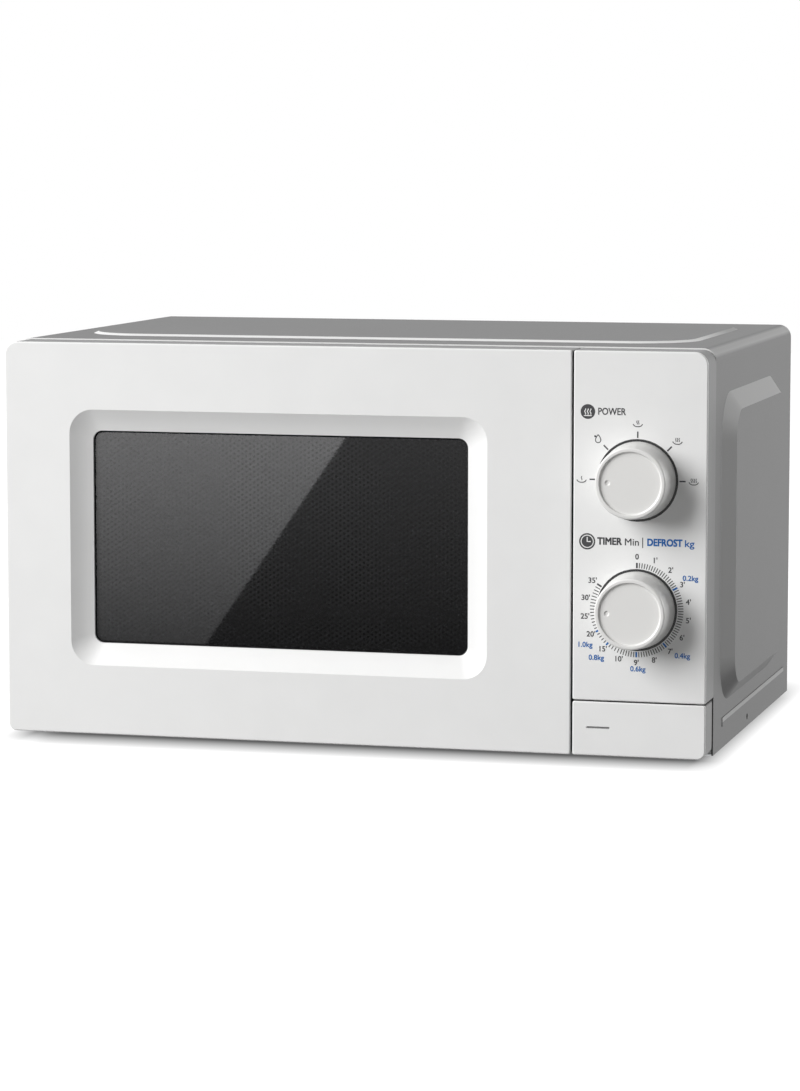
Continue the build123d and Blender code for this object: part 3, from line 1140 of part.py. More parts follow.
def power_selector():
    """Rotary power switch with two rows of blade terminals behind."""
    back = FACE_Y + PANEL_WALL + SELECTOR_DEPTH
    case = control_unit(POWER_Z, SELECTOR_SIZE, SELECTOR_DEPTH, SELECTOR_CORNER)
    for side in (-1, 1):
        for step in (-1, 0, 1):
            blade_z = span(POWER_Z + step * SELECTOR_SIZE / 4, BLADE_WIDTH)
            blade_x = span(KNOB_X + side * SELECTOR_SIZE / 4, SHEET)
            case += block(blade_x, (back, back + BLADE_LENGTH), blade_z)
    return case


def door_button():
    """Door-release key: a hollow cap with a dash, two guide pegs and the rib that turns the lever."""
    outline = corner_rect(PANEL_X, BUTTON_Z, CORNER_SEAM, CORNER_BOTTOM, CORNER_SEAM, CORNER_SEAM)
    cap = along_y(outline, (FACE_Y, BUTTON_BACK_Y))
    cap = fillet(cap.faces().sort_by(Axis.Y)[0].edges(), EDGE_ROUND)
    inside = corner_rect(grow(PANEL_X, -BUTTON_WALL), grow(BUTTON_Z, -BUTTON_WALL), 0,
                         CORNER_BOTTOM - BUTTON_WALL, 0, 0)
    cap -= along_y(inside, (FACE_Y + BUTTON_WALL, BUTTON_BACK_Y))
    peg_y = (FACE_Y + BUTTON_WALL, INNER_Y[0] + BUTTON_PEG_PAST)
    for x in BUTTON_PEG_X:
        cap += along_y(disc(x, BUTTON_MID_Z, BUTTON_PEG_RADIUS), peg_y)
    rib_y = (FACE_Y + BUTTON_WALL, LEVER_FACE_Y - LEVER_GAP)
    cap += block(BUTTON_RIB_X, rib_y, span(BUTTON_MID_Z, BUTTON_RIB_HEIGHT))
    dash_x = (PANEL_X[0] + BUTTON_DASH_INSET, PANEL_X[0] + BUTTON_DASH_INSET + BUTTON_DASH_LENGTH)
    dash = slot(dash_x, span(FRONT_Z[0] + BUTTON_DASH_HEIGHT, BUTTON_DASH_WIDTH))
    return cap - along_y(dash, (FACE_Y, FACE_Y + BUTTON_DASH_DEPTH))


def button_spring():
    """Coil round the button's outer peg that pushes the key back out."""
    start = FACE_Y + BUTTON_WALL + SPRING_END_GAP
    length = BODY_Y[0] - start - SPRING_END_GAP
    return coil((BUTTON_PEG_X[1], start, BUTTON_MID_Z), (0, 1, 0), length, SPRING_RADIUS)


# Microwave source
def waveguide():
    """Pressed duct that leads from the magnetron to the port in the cavity wall."""
    y = span(MAGNETRON_Y, WAVEGUIDE_LENGTH)
    z = span(MAGNETRON_Z, WAVEGUIDE_HEIGHT)
    duct = along_x(rect(y, z, WAVEGUIDE_CORNER), WAVEGUIDE_X)
    flange = rect(grow(y, WAVEGUIDE_FLANGE), grow(z, WAVEGUIDE_FLANGE), WAVEGUIDE_CORNER)
    duct += along_x(flange, (WAVEGUIDE_X[0], WAVEGUIDE_X[0] + SHEET))
    hollow = rect(grow(y, -SHEET), grow(z, -SHEET), WAVEGUIDE_CORNER - SHEET)
    duct -= along_x(hollow, (WAVEGUIDE_X[0], WAVEGUIDE_X[1] - SHEET))
    mouth = disc(MAGNETRON_Y, MAGNETRON_Z, ANTENNA_COLLAR_RADIUS + SHEET_FIT)
    return duct - along_x(mouth, (WAVEGUIDE_X[1] - SHEET, WAVEGUIDE_X[1]))


def waveguide_cover():
    """Mica sheet over the port inside the cavity."""
    y = grow(span(MAGNETRON_Y, PORT_LENGTH), COVER_SHEET_MARGIN)
    z = grow(span(MAGNETRON_Z, PORT_HEIGHT), COVER_SHEET_MARGIN)
    return along_x(rect(y, z, COVER_SHEET_CORNER), (CAVITY_X[1] - COVER_SHEET_THICKNESS, CAVITY_X[1]))


def magnetron_yoke():
    """Steel box open fore and aft, so that air blows between the fins."""
    y = span(MAGNETRON_Y, YOKE_LENGTH)
    z = span(MAGNETRON_Z, YOKE_HEIGHT)
    yoke = block(YOKE_X, y, z) - block(grow(YOKE_X, -YOKE_SHEET), y, grow(z, -YOKE_SHEET))
    hole = disc(MAGNETRON_Y, MAGNETRON_Z, ANTENNA_COLLAR_RADIUS + SHEET_FIT)
    return yoke - along_x(hole, (YOKE_X[0], YOKE_X[0] + YOKE_SHEET))


def magnetron_fins():
    """Anode cylinder with its stack of cooling fins."""
    inside = grow(YOKE_X, -YOKE_SHEET)
    stack = along_x(disc(MAGNETRON_Y, MAGNETRON_Z, ANODE_RADIUS), inside)
    y = grow(span(MAGNETRON_Y, YOKE_LENGTH), -FIN_MARGIN)
    z = grow(span(MAGNETRON_Z, YOKE_HEIGHT), -YOKE_SHEET)
    pitch = (inside[1] - inside[0]) / FIN_COUNT
    for fin in range(FIN_COUNT):
        x = inside[0] + pitch * (fin + 0.5)
        stack += block(span(x, FIN_THICKNESS), y, z)
    return stack


def magnetron_antenna():
    """Ceramic antenna that stands into the waveguide."""
    root = YOKE_X[0] + YOKE_SHEET
    collar = root - YOKE_SHEET - ANTENNA_COLLAR
    tip = WAVEGUIDE_X[1] - ANTENNA_REACH
    outline = profile((tip, 0), (root, 0), (root, ANTENNA_COLLAR_RADIUS), (collar, ANTENNA_COLLAR_RADIUS),
                      (collar, ANTENNA_RADIUS), (tip, ANTENNA_RADIUS, ANTENNA_ROUND))
    return Pos(0, MAGNETRON_Y, MAGNETRON_Z) * revolve(outline, Axis.X)


def magnetron_filter_box():
    """Shield box over the heater leads, with two blade terminals below."""
    x = (YOKE_X[1], YOKE_X[1] + FILTER_BOX_WIDTH)
    z = span(MAGNETRON_Z, FILTER_BOX_HEIGHT)
    box = along_x(rect(span(MAGNETRON_Y, FILTER_BOX_LENGTH), z, FILTER_BOX_CORNER), x)
    for side in (-1, 1):
        blade_y = span(MAGNETRON_Y + side * FILTER_BOX_LENGTH / 5, BLADE_WIDTH)
        box += block(span(middle(x), SHEET), blade_y, (z[0] - FILTER_TAB, z[0]))
    return box


def lamp_place():
    """Middle of the lamp on the cavity's right wall."""
    return (MAGNETRON_Y, CAVITY_Z[0] + LAMP_HEIGHT)


def lamp_holder():
    """Bent bracket on the cavity wall with the lamp's socket."""
    y, z = lamp_place()
    length = span(y, LAMP_BRACKET_LENGTH)
    height = span(z, LAMP_BRACKET_HEIGHT)
    depth = (BAY_X[0], BAY_X[0] + 2 * LAMP_BULB_RADIUS + LAMP_BRACKET_DEPTH / 4)
    bracket = block(depth, (length[1] - LAMP_SOCKET_LENGTH, length[1]), height)
    foot_y = (length[1], length[1] + LAMP_BRACKET_DEPTH)
    return bracket + block((BAY_X[0], BAY_X[0] + SHEET), foot_y, height)


def lamp_bulb():
    """Small tubular bulb in the lamp's socket."""
    y, z = lamp_place()
    end = y + LAMP_BRACKET_LENGTH / 2 - LAMP_SOCKET_LENGTH
    tip = end - LAMP_BULB_LENGTH
    outline = profile((0, tip), (LAMP_BULB_RADIUS, tip, LAMP_BULB_ROUND), (LAMP_BULB_RADIUS, end), (0, end))
    return turned_y(outline, BAY_X[0] + LAMP_BULB_RADIUS + SHEET_FIT, z)


# High-voltage supply
def transformer_core():
    """Laminated core with two windows on a folded mounting foot."""
    y = BODY_Y[0] + TRANSFORMER_BACK
    bottom = BASE_Z + SHEET
    z = (bottom + CORE_FOOT, bottom + CORE_FOOT + CORE_HEIGHT)
    stack = rect(span(y, CORE_LENGTH), z)
    for window in core_windows():
        stack -= rect(window, grow(z, -CORE_YOKE))
    core = along_x(stack, span(BAY_MIDDLE, CORE_WIDTH))
    foot_y = grow(span(y, CORE_LENGTH), CORE_FOOT_REACH)
    return core + block(span(BAY_MIDDLE, CORE_WIDTH), foot_y, (bottom, z[0]))


def core_windows():
    """Limits along the core of the two windows beside its middle leg."""
    y = BODY_Y[0] + TRANSFORMER_BACK
    leg = span(y, CORE_LEG)
    side = CORE_LEG / 2
    outer = grow(span(y, CORE_LENGTH), -side)
    return [(outer[0], leg[0]), (leg[1], outer[1])]


def transformer_windings():
    """Primary and secondary coils round the core's middle leg."""
    y = BODY_Y[0] + TRANSFORMER_BACK
    bottom = BASE_Z + SHEET + CORE_FOOT + CORE_YOKE
    height = CORE_HEIGHT - 2 * CORE_YOKE
    hole_x = grow(span(BAY_MIDDLE, CORE_WIDTH), COIL_GAP)
    hole_y = grow(span(y, CORE_LEG), COIL_GAP)
    ring = rect(grow(hole_x, COIL_BUILD), grow(hole_y, COIL_BUILD), COIL_BUILD) - rect(hole_x, hole_y)
    split = bottom + height * PRIMARY_SHARE
    primary = along_z(ring, (bottom + COIL_GAP, split - COIL_GAP))
    secondary = along_z(ring, (split + COIL_GAP, bottom + height - COIL_GAP))
    return Compound(children=[primary, secondary])


def oval(clearance):
    """Section of the capacitor can, grown all round."""
    return SlotOverall(CAPACITOR_LENGTH + 2 * clearance, CAPACITOR_WIDTH + 2 * clearance)


def capacitor():
    """Oval can on the base plate with two terminals on its lid."""
    place = Pos(BAY_MIDDLE, BODY_Y[0] + CAPACITOR_BACK)
    bottom = BASE_Z + SHEET
    top = bottom + CAPACITOR_HEIGHT
    can = along_z(place * oval(0.0), (bottom, top))
    can += along_z(place * oval(CAPACITOR_RIM), (top - 2 * CAPACITOR_RIM, top))
    for side in (-1, 1):
        across = side * CAPACITOR_LENGTH / 5
        can += along_z(place * disc(across, 0, TERMINAL_POST_RADIUS), (top, top + TERMINAL_HEIGHT / 2))
        can += along_z(place * rect(span(across, SHEET), span(0, BLADE_WIDTH)), (top, top + TERMINAL_HEIGHT))
    return can


def capacitor_clamp():
    """Steel band round the can with a foot on the base plate."""
    place = Pos(BAY_MIDDLE, BODY_Y[0] + CAPACITOR_BACK)
    bottom = BASE_Z + SHEET
    top = bottom + CLAMP_HEIGHT + CLAMP_WIDTH
    band = along_z(place * (oval(SHEET_FIT + CLAMP_SHEET) - oval(SHEET_FIT)), (bottom + CLAMP_HEIGHT, top))
    edge = CAPACITOR_LENGTH / 2 + SHEET_FIT
    leg = place * rect((edge, edge + CLAMP_SHEET), span(0, CLAMP_WIDTH))
    foot = place * rect((edge, edge + CLAMP_FOOT), span(0, CLAMP_WIDTH))
    return band + along_z(leg, (bottom, top)) + along_z(foot, (bottom, bottom + CLAMP_SHEET))


def hv_diode():
    """Moulded diode with a lead at each end, lying on the base plate."""
    x = BAY_MIDDLE - CAPACITOR_LENGTH / 2 - DIODE_RADIUS - CAPACITOR_RIM - DIODE_GAP
    y = BODY_Y[0] + CAPACITOR_BACK
    z = BASE_Z + SHEET + DIODE_RADIUS + SHEET_FIT
    diode = along_y(disc(x, z, DIODE_RADIUS), span(y, DIODE_LENGTH))
    return diode + along_y(disc(x, z, DIODE_LEAD_RADIUS), span(y, DIODE_LENGTH + 2 * DIODE_LEAD))


# Cooling
def fan_duct():
    """Box on the back plate with the round opening that the fan turns in."""
    duct = block(DUCT_X, DUCT_Y, DUCT_Z)
    duct -= block(grow(DUCT_X, -DUCT_WALL), (DUCT_Y[0] + DUCT_WALL, DUCT_Y[1]), grow(DUCT_Z, -DUCT_WALL))
    opening = disc(FAN_X, MAGNETRON_Z, FAN_RADIUS + FAN_OPENING_GAP)
    return duct - along_y(opening, (DUCT_Y[0], DUCT_Y[0] + DUCT_WALL))


def fan_motor():
    """Shaded-pole motor on two legs from the back plate."""
    size = span(FAN_X, FAN_MOTOR_SIZE)
    stack = along_y(rect(size, span(MAGNETRON_Z, FAN_MOTOR_SIZE), FAN_MOTOR_CORNER), FAN_MOTOR_Y)
    coil_z = span(MAGNETRON_Z - FAN_MOTOR_SIZE / 2, FAN_COIL_HEIGHT)
    winding = rect(span(FAN_X, FAN_COIL_WIDTH), coil_z, FAN_COIL_CORNER)
    stack += along_y(winding, grow(FAN_MOTOR_Y, FAN_COIL_PROUD))
    for side in (-1, 1):
        leg_x = FAN_X + side * (FAN_MOTOR_SIZE / 2 - FAN_MOTOR_LEG_INSET)
        stack += along_y(disc(leg_x, MAGNETRON_Z, FAN_MOTOR_LEG_RADIUS), (FAN_MOTOR_Y[1], INNER_Y[1]))
    bore = disc(FAN_X, MAGNETRON_Z, FAN_SHAFT_RADIUS + RUNNING_CLEARANCE)
    return stack - along_y(bore, (FAN_MOTOR_Y[0], FAN_MOTOR_Y[0] + FAN_SHAFT_SEAT + RUNNING_CLEARANCE))


def fan_blade():
    """Five-bladed axial fan, each blade a twisted loft from the hub to a wider tip."""
    hub_y = span(0, FAN_HUB_LENGTH)
    hub = along_y(disc(0, 0, FAN_HUB_RADIUS), hub_y)
    hub += along_y(disc(0, 0, FAN_SHAFT_RADIUS), (hub_y[1], hub_y[1] + FAN_MOTOR_GAP + FAN_SHAFT_SEAT))
    sections = []
    for radius, chord, pitch in ((FAN_BLADE_ROOT, FAN_ROOT_CHORD, FAN_ROOT_PITCH),
                                 (FAN_RADIUS, FAN_TIP_CHORD, FAN_TIP_PITCH)):
        section = Rot(0, 0, pitch) * RectangleRounded(FAN_BLADE_THICKNESS, chord, FAN_BLADE_ROUND)
        sections.append(Plane.XY.offset(radius) * section)
    blade = loft(sections)
    for number in range(FAN_BLADES):
        hub += Rot(0, 360.0 / FAN_BLADES * number, 0) * blade
    return Pos(FAN_X, middle(FAN_HUB_Y), MAGNETRON_Z) * hub


def filter_board():
    """Noise-filter board on the fan duct with its choke, fuse and capacitor."""
    y = middle(DUCT_Y)
    bottom = DUCT_Z[1] + BOARD_STANDOFF
    top = bottom + BOARD_THICKNESS
    board = block(span(FAN_X, BOARD_WIDTH), span(y, BOARD_LENGTH), (bottom, top))
    for side in (-1, 1):
        for end in (-1, 1):
            post_x = FAN_X + side * (BOARD_WIDTH / 2 - BOARD_POST_INSET)
            post_y = y + end * (BOARD_LENGTH / 2 - BOARD_POST_INSET)
            board += along_z(disc(post_x, post_y, BOARD_POST_RADIUS), (DUCT_Z[1], bottom))
    ring = Pos(FAN_X - BOARD_WIDTH / 4, y) * (Circle(CHOKE_COIL_RADIUS) - Circle(CHOKE_COIL_BORE))
    board += along_z(ring, (top, top + CHOKE_COIL_HEIGHT))
    fuse_z = top + FUSE_RADIUS - FUSE_SEAT
    board += along_y(disc(FAN_X + BOARD_WIDTH / 8, fuse_z, FUSE_RADIUS), span(y, FUSE_LENGTH))
    cap_x = span(FAN_X + BOARD_WIDTH / 3, FILTER_CAP_WIDTH)
    return board + block(cap_x, span(y, FUSE_LENGTH), (top, top + FILTER_CAP_HEIGHT))


def thermal_cutout():
    """Disc thermostat with two ears on the cavity's ceiling."""
    seat = CAVITY_Z[1] + SHEET
    ears = SlotOverall(2 * CUTOUT_EAR, CUTOUT_RADIUS)
    for side in (-1, 1):
        ears -= disc(side * (CUTOUT_EAR - CUTOUT_HOLE_INSET), 0, CUTOUT_HOLE_RADIUS)
    place = Pos(TURN_X, TURN_Y)
    cutout = along_z(place * ears, (seat, seat + SHEET))
    return cutout + along_z(place * Circle(CUTOUT_RADIUS), (seat, seat + CUTOUT_HEIGHT))


NODES = {
    "cabinet": cabinet(),
    "base_plate": base_plate(),
    "feet": feet(),
    "cabinet_screws": cabinet_screws(),
    "front_plate": front_plate(),
    "back_plate": back_plate(),
    "cord_bushing": cord_bushing(),
    "cavity_wrap": cavity_wrap(),
    "cavity_floor": cavity_floor(),
    "turntable_motor": turntable_motor(),
    "drive_shaft": drive_shaft(),
    "turntable_coupler": turntable_coupler(),
    "glass_turntable": glass_turntable(),
    "roller_ring": roller_ring(),
    "door_frame": door_frame(),
    "door_glass": door_glass(),
    "door_choke": door_choke(),
    "door_screen": door_screen(),
    "door_film": door_film(),
    "door_inner_cover": door_inner_cover(),
    "upper_hinge": hinge(UPPER_ARM_Z, UPPER_BUSH_Z),
    "lower_hinge": hinge(LOWER_ARM_Z, LOWER_BUSH_Z),
    "hinge_bushes": hinge_bushes(),
    "latch_hooks": latch_hooks(),
    "latch_spring": latch_spring(),
    "latch_board": latch_board(),
    "upper_switch": interlock_switch(HOOK_Z[1]),
    "lower_switch": interlock_switch(HOOK_Z[0]),
    "release_lever": release_lever(),
    "control_panel": control_panel(),
    "power_knob": knob(POWER_Z),
    "power_shaft": knob_shaft(POWER_Z),
    "power_selector": power_selector(),
    "timer_knob": knob(TIMER_Z),
    "timer_shaft": knob_shaft(TIMER_Z),
    "timer_unit": timer_unit(),
    "door_button": door_button(),
    "button_spring": button_spring(),
    "waveguide": waveguide(),
    "waveguide_cover": waveguide_cover(),
    "magnetron_yoke": magnetron_yoke(),
    "magnetron_fins": magnetron_fins(),
    "magnetron_antenna": magnetron_antenna(),
    "magnetron_filter_box": magnetron_filter_box(),
    "lamp_holder": lamp_holder(),
    "lamp_bulb": lamp_bulb(),
    "transformer_core": transformer_core(),
    "transformer_windings": transformer_windings(),
    "capacitor": capacitor(),
    "capacitor_clamp": capacitor_clamp(),
    "hv_diode": hv_diode(),
    "fan_duct": fan_duct(),
    "fan_motor": fan_motor(),
    "fan_blade": fan_blade(),
    "filter_board": filter_board(),
    "thermal_cutout": thermal_cutout(),
}
NODES.update({f"roller_{number + 1}": roller(number) for number in range(ROLLER_COUNT)})

os.makedirs("parts", exist_ok=True)
for name, solid in NODES.items():
    export_step(solid, f"parts/{name}.step")
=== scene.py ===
from math import cos, pi, radians, sin, tau

import bmesh
import bpy
from bpy.props import FloatProperty, FloatVectorProperty, IntProperty, PointerProperty
from mathutils import Matrix, Vector


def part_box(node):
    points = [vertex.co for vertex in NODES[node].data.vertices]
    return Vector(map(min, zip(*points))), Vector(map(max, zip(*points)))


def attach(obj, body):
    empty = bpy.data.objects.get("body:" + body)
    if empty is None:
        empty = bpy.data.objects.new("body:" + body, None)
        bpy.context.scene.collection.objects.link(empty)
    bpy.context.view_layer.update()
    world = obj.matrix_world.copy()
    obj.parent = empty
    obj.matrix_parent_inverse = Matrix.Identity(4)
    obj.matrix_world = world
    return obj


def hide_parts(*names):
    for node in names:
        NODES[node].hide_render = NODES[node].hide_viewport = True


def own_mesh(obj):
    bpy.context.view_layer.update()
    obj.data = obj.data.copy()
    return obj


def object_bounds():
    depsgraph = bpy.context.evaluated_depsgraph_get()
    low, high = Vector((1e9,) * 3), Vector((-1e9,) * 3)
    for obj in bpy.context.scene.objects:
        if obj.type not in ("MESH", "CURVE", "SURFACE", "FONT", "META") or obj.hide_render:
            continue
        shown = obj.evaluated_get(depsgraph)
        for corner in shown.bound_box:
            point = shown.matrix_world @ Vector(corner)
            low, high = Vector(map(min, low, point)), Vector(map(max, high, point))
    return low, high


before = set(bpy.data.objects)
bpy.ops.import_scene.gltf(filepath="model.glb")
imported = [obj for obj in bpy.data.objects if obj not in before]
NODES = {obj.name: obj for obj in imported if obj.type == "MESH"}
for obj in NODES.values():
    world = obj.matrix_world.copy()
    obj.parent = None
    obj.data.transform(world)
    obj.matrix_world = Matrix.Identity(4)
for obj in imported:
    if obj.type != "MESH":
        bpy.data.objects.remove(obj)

bl_info = {
    "name": "Microwave Oven",
    "version": (1, 0, 0),
    "blender": (4, 5, 0),
    "location": "View3D > Sidebar > Oven",
    "description": "Dresses the solids of a countertop microwave oven with finishes, dial marks and a studio",
    "category": "Object",
}

# Places from the imported solids
SOLIDS_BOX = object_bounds()
PANEL_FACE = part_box("control_panel")[0][1]
POWER_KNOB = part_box("power_knob")
TIMER_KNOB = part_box("timer_knob")
DOOR_BOX = [Vector(corner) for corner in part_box("door_frame")]
PANEL_BOX = [Vector(corner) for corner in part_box("control_panel")]
BUTTON_BOX = [Vector(corner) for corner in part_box("door_button")]
FRONT_BOX = (DOOR_BOX[0], PANEL_BOX[1])

# Moulded front and what moves in it, in metres
FRONT_CORNER = 0.008
FRONT_EDGE = 0.001
SEAM_REACH = 0.0009
OUT_OF_REACH = 1.0

# Painted highlights on the cabinet's edges: places in metres, ways of facing and a strength
TOP_PRESS_INSET = 0.028
TOP_PRESS_SLOPE = 0.92
TOP_PRESS_FADE = 0.06
LIP_FACING = 0.9
LIP_FADE = (0.06, 0.12)
BEAD_FACE = 0.2204
BEAD_FACE_REACH = 0.0001
BEAD_HIGHLIGHT_HEIGHT = 0.0252
BEAD_HIGHLIGHT_REACH = 0.0013
BEAD_HIGHLIGHT_SHARE = 0.32

# Painted shadow: a dark line on the window along the frame's edge
GLASS_OVERLAP = 0.006
EDGE_SHADOW_HIDDEN = 0.0010
EDGE_SHADOW_SHOWN = 0.0011
EDGE_SHADOW_CORNERS = (0.0070, 0.0050)
CORNER_STEPS = 6

# Perforated screen: corners of its cells this close are one
CORNERS_PER_METRE = 1e5

# Painted shade on the floor of the button's groove, from the button's lower left corner
GROOVE_SHADE_LEFT = 0.0091
GROOVE_SHADE_RISE = 0.0170
GROOVE_SHADE_LENGTH = 0.0135
GROOVE_SHADE_WIDTH = 0.0011
GROOVE_SHADE_DEPTH = 0.00054

# Coil springs
COIL_TURNS = 5
COIL_STEPS = 24
WIRE_RADIUS = 0.00045
WIRE_SIDES = 8

# Printed ink
INK_LIFT = 0.00006
OVERPRINT_LIFT = 2 * INK_LIFT
STRIKE_LIFT = 0.00001
# Painted shadow ring round each knob: its reach outside and inside the knob's rim
KNOB_SHADOW_OUTSIDE = 0.0014
KNOB_SHADOW_INSIDE = 0.0004

# Power dial, with the plumes of each symbol and none for the drop
POWER_PLUMES = (1, 0, 2, 3, 4)
POWER_STEP = 45
POWER_TICK = (0.0252, 0.0290)
POWER_ICON = 0.0044
ICON_PLUME_GAP = 0.0016
ICON_PLUME_DROP = 0.0018
ICON_LINE = 0.0024
BOWL_SIDE = ((0.0010, -0.0019), (0.0021, -0.0014), (0.0029, -0.0004))
PLUME_GAP = 0.0010
PLUME_DROP = 0.0006
DROP_STEPS = 24
DROP_RISE = 0.0004
DROP_HALF_WIDTH = 0.0021
DROP_HALF_HEIGHT = 0.0024
DROPLET_OFFSET = 0.0018
DROPLET_RADIUS = 0.0006

# Timer dial: wide steps up to ten minutes, then narrow ones, in degrees per minute
WIDE_MINUTES = 10
LAST_MINUTE = 35
WIDE_STEP = 20.0
NARROW_STEP = 4.08
TICKS_PER_MINUTE = 6
NUMBERED_MINUTES = (*range(WIDE_MINUTES + 1), *range(15, LAST_MINUTE + 1, 5))
BLUE_MINUTES = (3, 7, 9, 15, 20)
NUMBER_BOLD = 0.00014
WEIGHT_BOLD = 0.00016
CLOCK_RIM = (0.0049, 0.0040)
CLOCK_FACE = 0.0034
CLOCK_HANDS = ((0.0, 0.0026), (0.0, -0.0001), (0.0022, -0.0001))
DIVIDER_RIGHT = 0.0034
DIVIDER_HALF = 0.0031

# Defrost weights: text, then its place to the right of the timer's axis and above it
WEIGHTS = (("0.2kg", 0.0322, 0.0197), ("0.4kg", 0.0277, -0.0267), ("0.6kg", 0.0009, -0.0355),
           ("0.8kg", -0.0244, -0.0295), ("1.0kg", -0.0314, -0.0219))

# Headings: text, then its start to the right of the knob's axis, its width and its boldness
POWER_WORDS = (("POWER", -0.0243, 0.0166, 0.00014),)
TIMER_WORDS = (("TIMER", -0.0242, 0.0146, 0.00040), ("Min", -0.0078, 0.0084, 0.00010))
DEFROST_WORDS = (("DEFROST", 0.0058, 0.0208, 0.00040), ("kg", 0.0284, 0.0056, 0.00014))

# Studio lamps, floor, painted soft shadow and camera
KEY_PLACE = (-3.15, -2.75, 2.25)
KEY_AIM = (0.0, -0.13, 0.13)
KEY_SIZE = 3.4
SIDE_PLACE = (1.9, 1.1, 0.60)
SIDE_AIM = (0.22, 0.05, 0.13)
SIDE_SIZE = 0.7
FLOOR_REACH = 4.0
FLOOR_GREY = (0.25, 0.25, 0.25, 1.0)
SHADOW_LEAN = 0.009
SHADOW_PAST = 0.004
SHADOW_START = 0.01
SHADOW_GLOW = 0.1
SENSOR_HEIGHT = 36.0
VIEW_DEPTH = 50.0

# Cards that the window mirrors: slanted edge as x and z on the pane, far ends, place and fade
GLARE_EDGE = ((0.0064, 0.211), (-0.1045, 0.051))
GLARE_LEFT = -0.205
SHADE_RIGHT = 0.145
CARD_DEPTH = -0.60
CARD_FADE_HEIGHT = 0.17
CARD_FOOT_SHARE = 0.25

# Colours used more than once, and a stretch that changes nothing
ZINC = (0.50, 0.51, 0.52)
WHITE = (1.0, 1.0, 1.0, 1.0)
EVEN = (1.0, 1.0, 1.0)


# Values that a user can change
def colour_value(name, description, default):
    """A colour."""
    return FloatVectorProperty(name=name, description=description, default=default,
                               subtype="COLOR", min=0.0, max=1.0)


def length_value(name, description, default):
    """A length in metres."""
    return FloatProperty(name=name, description=description, default=default, unit="LENGTH", precision=5)


def angle_value(name, description, degrees):
    """An angle, given in degrees."""
    return FloatProperty(name=name, description=description, default=radians(degrees), subtype="ANGLE")


def power_value(name, description, default):
    """A lamp's power."""
    return FloatProperty(name=name, description=description, default=default, subtype="POWER")


def level_value(name, description, default):
    """A plain number."""
    return FloatProperty(name=name, description=description, default=default)


class OvenFinish(bpy.types.PropertyGroup):
    """Colours of the oven's finishes."""
    front_white: colour_value("Front white", "Moulded door frame, panel and button", (0.80, 0.80, 0.795))
    knob_white: colour_value("Knob white", "Moulded knobs", (0.74, 0.735, 0.72))
    cabinet_grey: colour_value("Cabinet grey", "Paint on the folded cabinet", (0.165, 0.165, 0.165))
    wall_grey: colour_value("Wall grey", "Outer walls of the moulded front", (0.14, 0.14, 0.14))
    cavity_grey: colour_value("Cavity grey", "Speckled paint inside the oven", (0.56, 0.57, 0.57))
    window_tint: colour_value("Window tint", "Tint of the door's window", (0.25, 0.25, 0.26))
    screen_black: colour_value("Screen black", "Enamel on the perforated screen", (0.018, 0.018, 0.019))
    dark_ink: colour_value("Dark ink", "Printed numbers and words", (0.025, 0.025, 0.028))
    blue_ink: colour_value("Blue ink", "Printed defrost marks", (0.0, 0.105, 0.36))


class OvenMarks(bpy.types.PropertyGroup):
    """Sizes of the printed marks on the control panel."""
    number_height: length_value("Number height", "Text size of the timer's numbers", 0.0046)
    weight_height: length_value("Weight height", "Text size of the defrost weights", 0.0044)
    word_height: length_value("Word height", "Text size of the headings", 0.0059)
    heading_rise: length_value("Heading rise", "Height of a heading above its knob's axis", 0.0403)
    heading_icon_left: length_value("Heading icon", "Distance of a heading's icon left of the axis", 0.0302)
    scale_inner: length_value("Scale inner radius", "Inner end of the timer's ticks", 0.0251)
    scale_outer: length_value("Scale outer radius", "Outer end of the timer's ticks", 0.0283)
    number_radius: length_value("Number radius", "Distance of the timer's numbers from its axis", 0.0317)
    symbol_radius: length_value("Symbol radius", "Distance of the power symbols from their axis", 0.0338)
    stroke: length_value("Stroke", "Width of a thin printed line", 0.00053)
    disc_sides: IntProperty(name="Disc sides", description="Sides of a printed disc", default=40, min=12)


class OvenScreen(bpy.types.PropertyGroup):
    """Perforation of the door's viewing screen."""
    pitch: length_value("Pitch", "Distance between the holes of a column", 0.00315)
    column_step: length_value("Column step", "Distance between neighbouring columns", 0.00249)
    hole_radius: length_value("Hole radius", "Radius of one hole", 0.00090)
    margin: length_value("Margin", "Plain edge kept round the holes", 0.012)


class OvenStudio(bpy.types.PropertyGroup):
    """Camera, lamps, floor and backdrop."""
    camera_place: FloatVectorProperty(name="Camera place", description="Where the camera stands",
                                      default=(0.62563, -2.35590, 0.38652), subtype="TRANSLATION")
    camera_down: angle_value("Camera tilt", "Angle that the camera looks down", 6.335)
    camera_left: angle_value("Camera turn", "Angle that the camera looks to the left", 15.028)
    lens: level_value("Lens", "Focal length in millimetres", 125.95)
    key_power: power_value("Key", "Power of the key lamp at the upper left", 317.0)
    side_power: power_value("Side", "Power of the lamp behind at the right", 26.0)
    ambient: level_value("Ambient", "Strength of the light from all round", 0.18)
    glare: level_value("Glare", "Strength of the bright card that the window mirrors", 2.75)
    shade: level_value("Shade", "Strength of the dark card that the window mirrors", 0.65)
    floor_glow: level_value("Floor glow", "Light that whitens the floor for the camera", 0.98)
    shadow_front: length_value("Front shadow", "How far under the oven its shadow is full", 0.052)
    shadow_side: length_value("Side shadow", "Width over which the shadow fades out at the sides", 0.020)
    shadow_rear: length_value("Rear shadow", "Depth over which the shadow fades out at the back", 0.09)


def finish():
    """The scene's finish colours."""
    return bpy.context.scene.oven_finish


def marks():
    """The scene's mark sizes."""
    return bpy.context.scene.oven_marks


# Building blocks of the finishes
def new_finish(name):
    """A new finish."""
    material = bpy.data.materials.new(name)
    material.use_nodes = True
    return material


def nodes_of(material):
    """A finish's node tree and its shader."""
    tree = material.node_tree
    return tree, tree.nodes["Principled BSDF"]


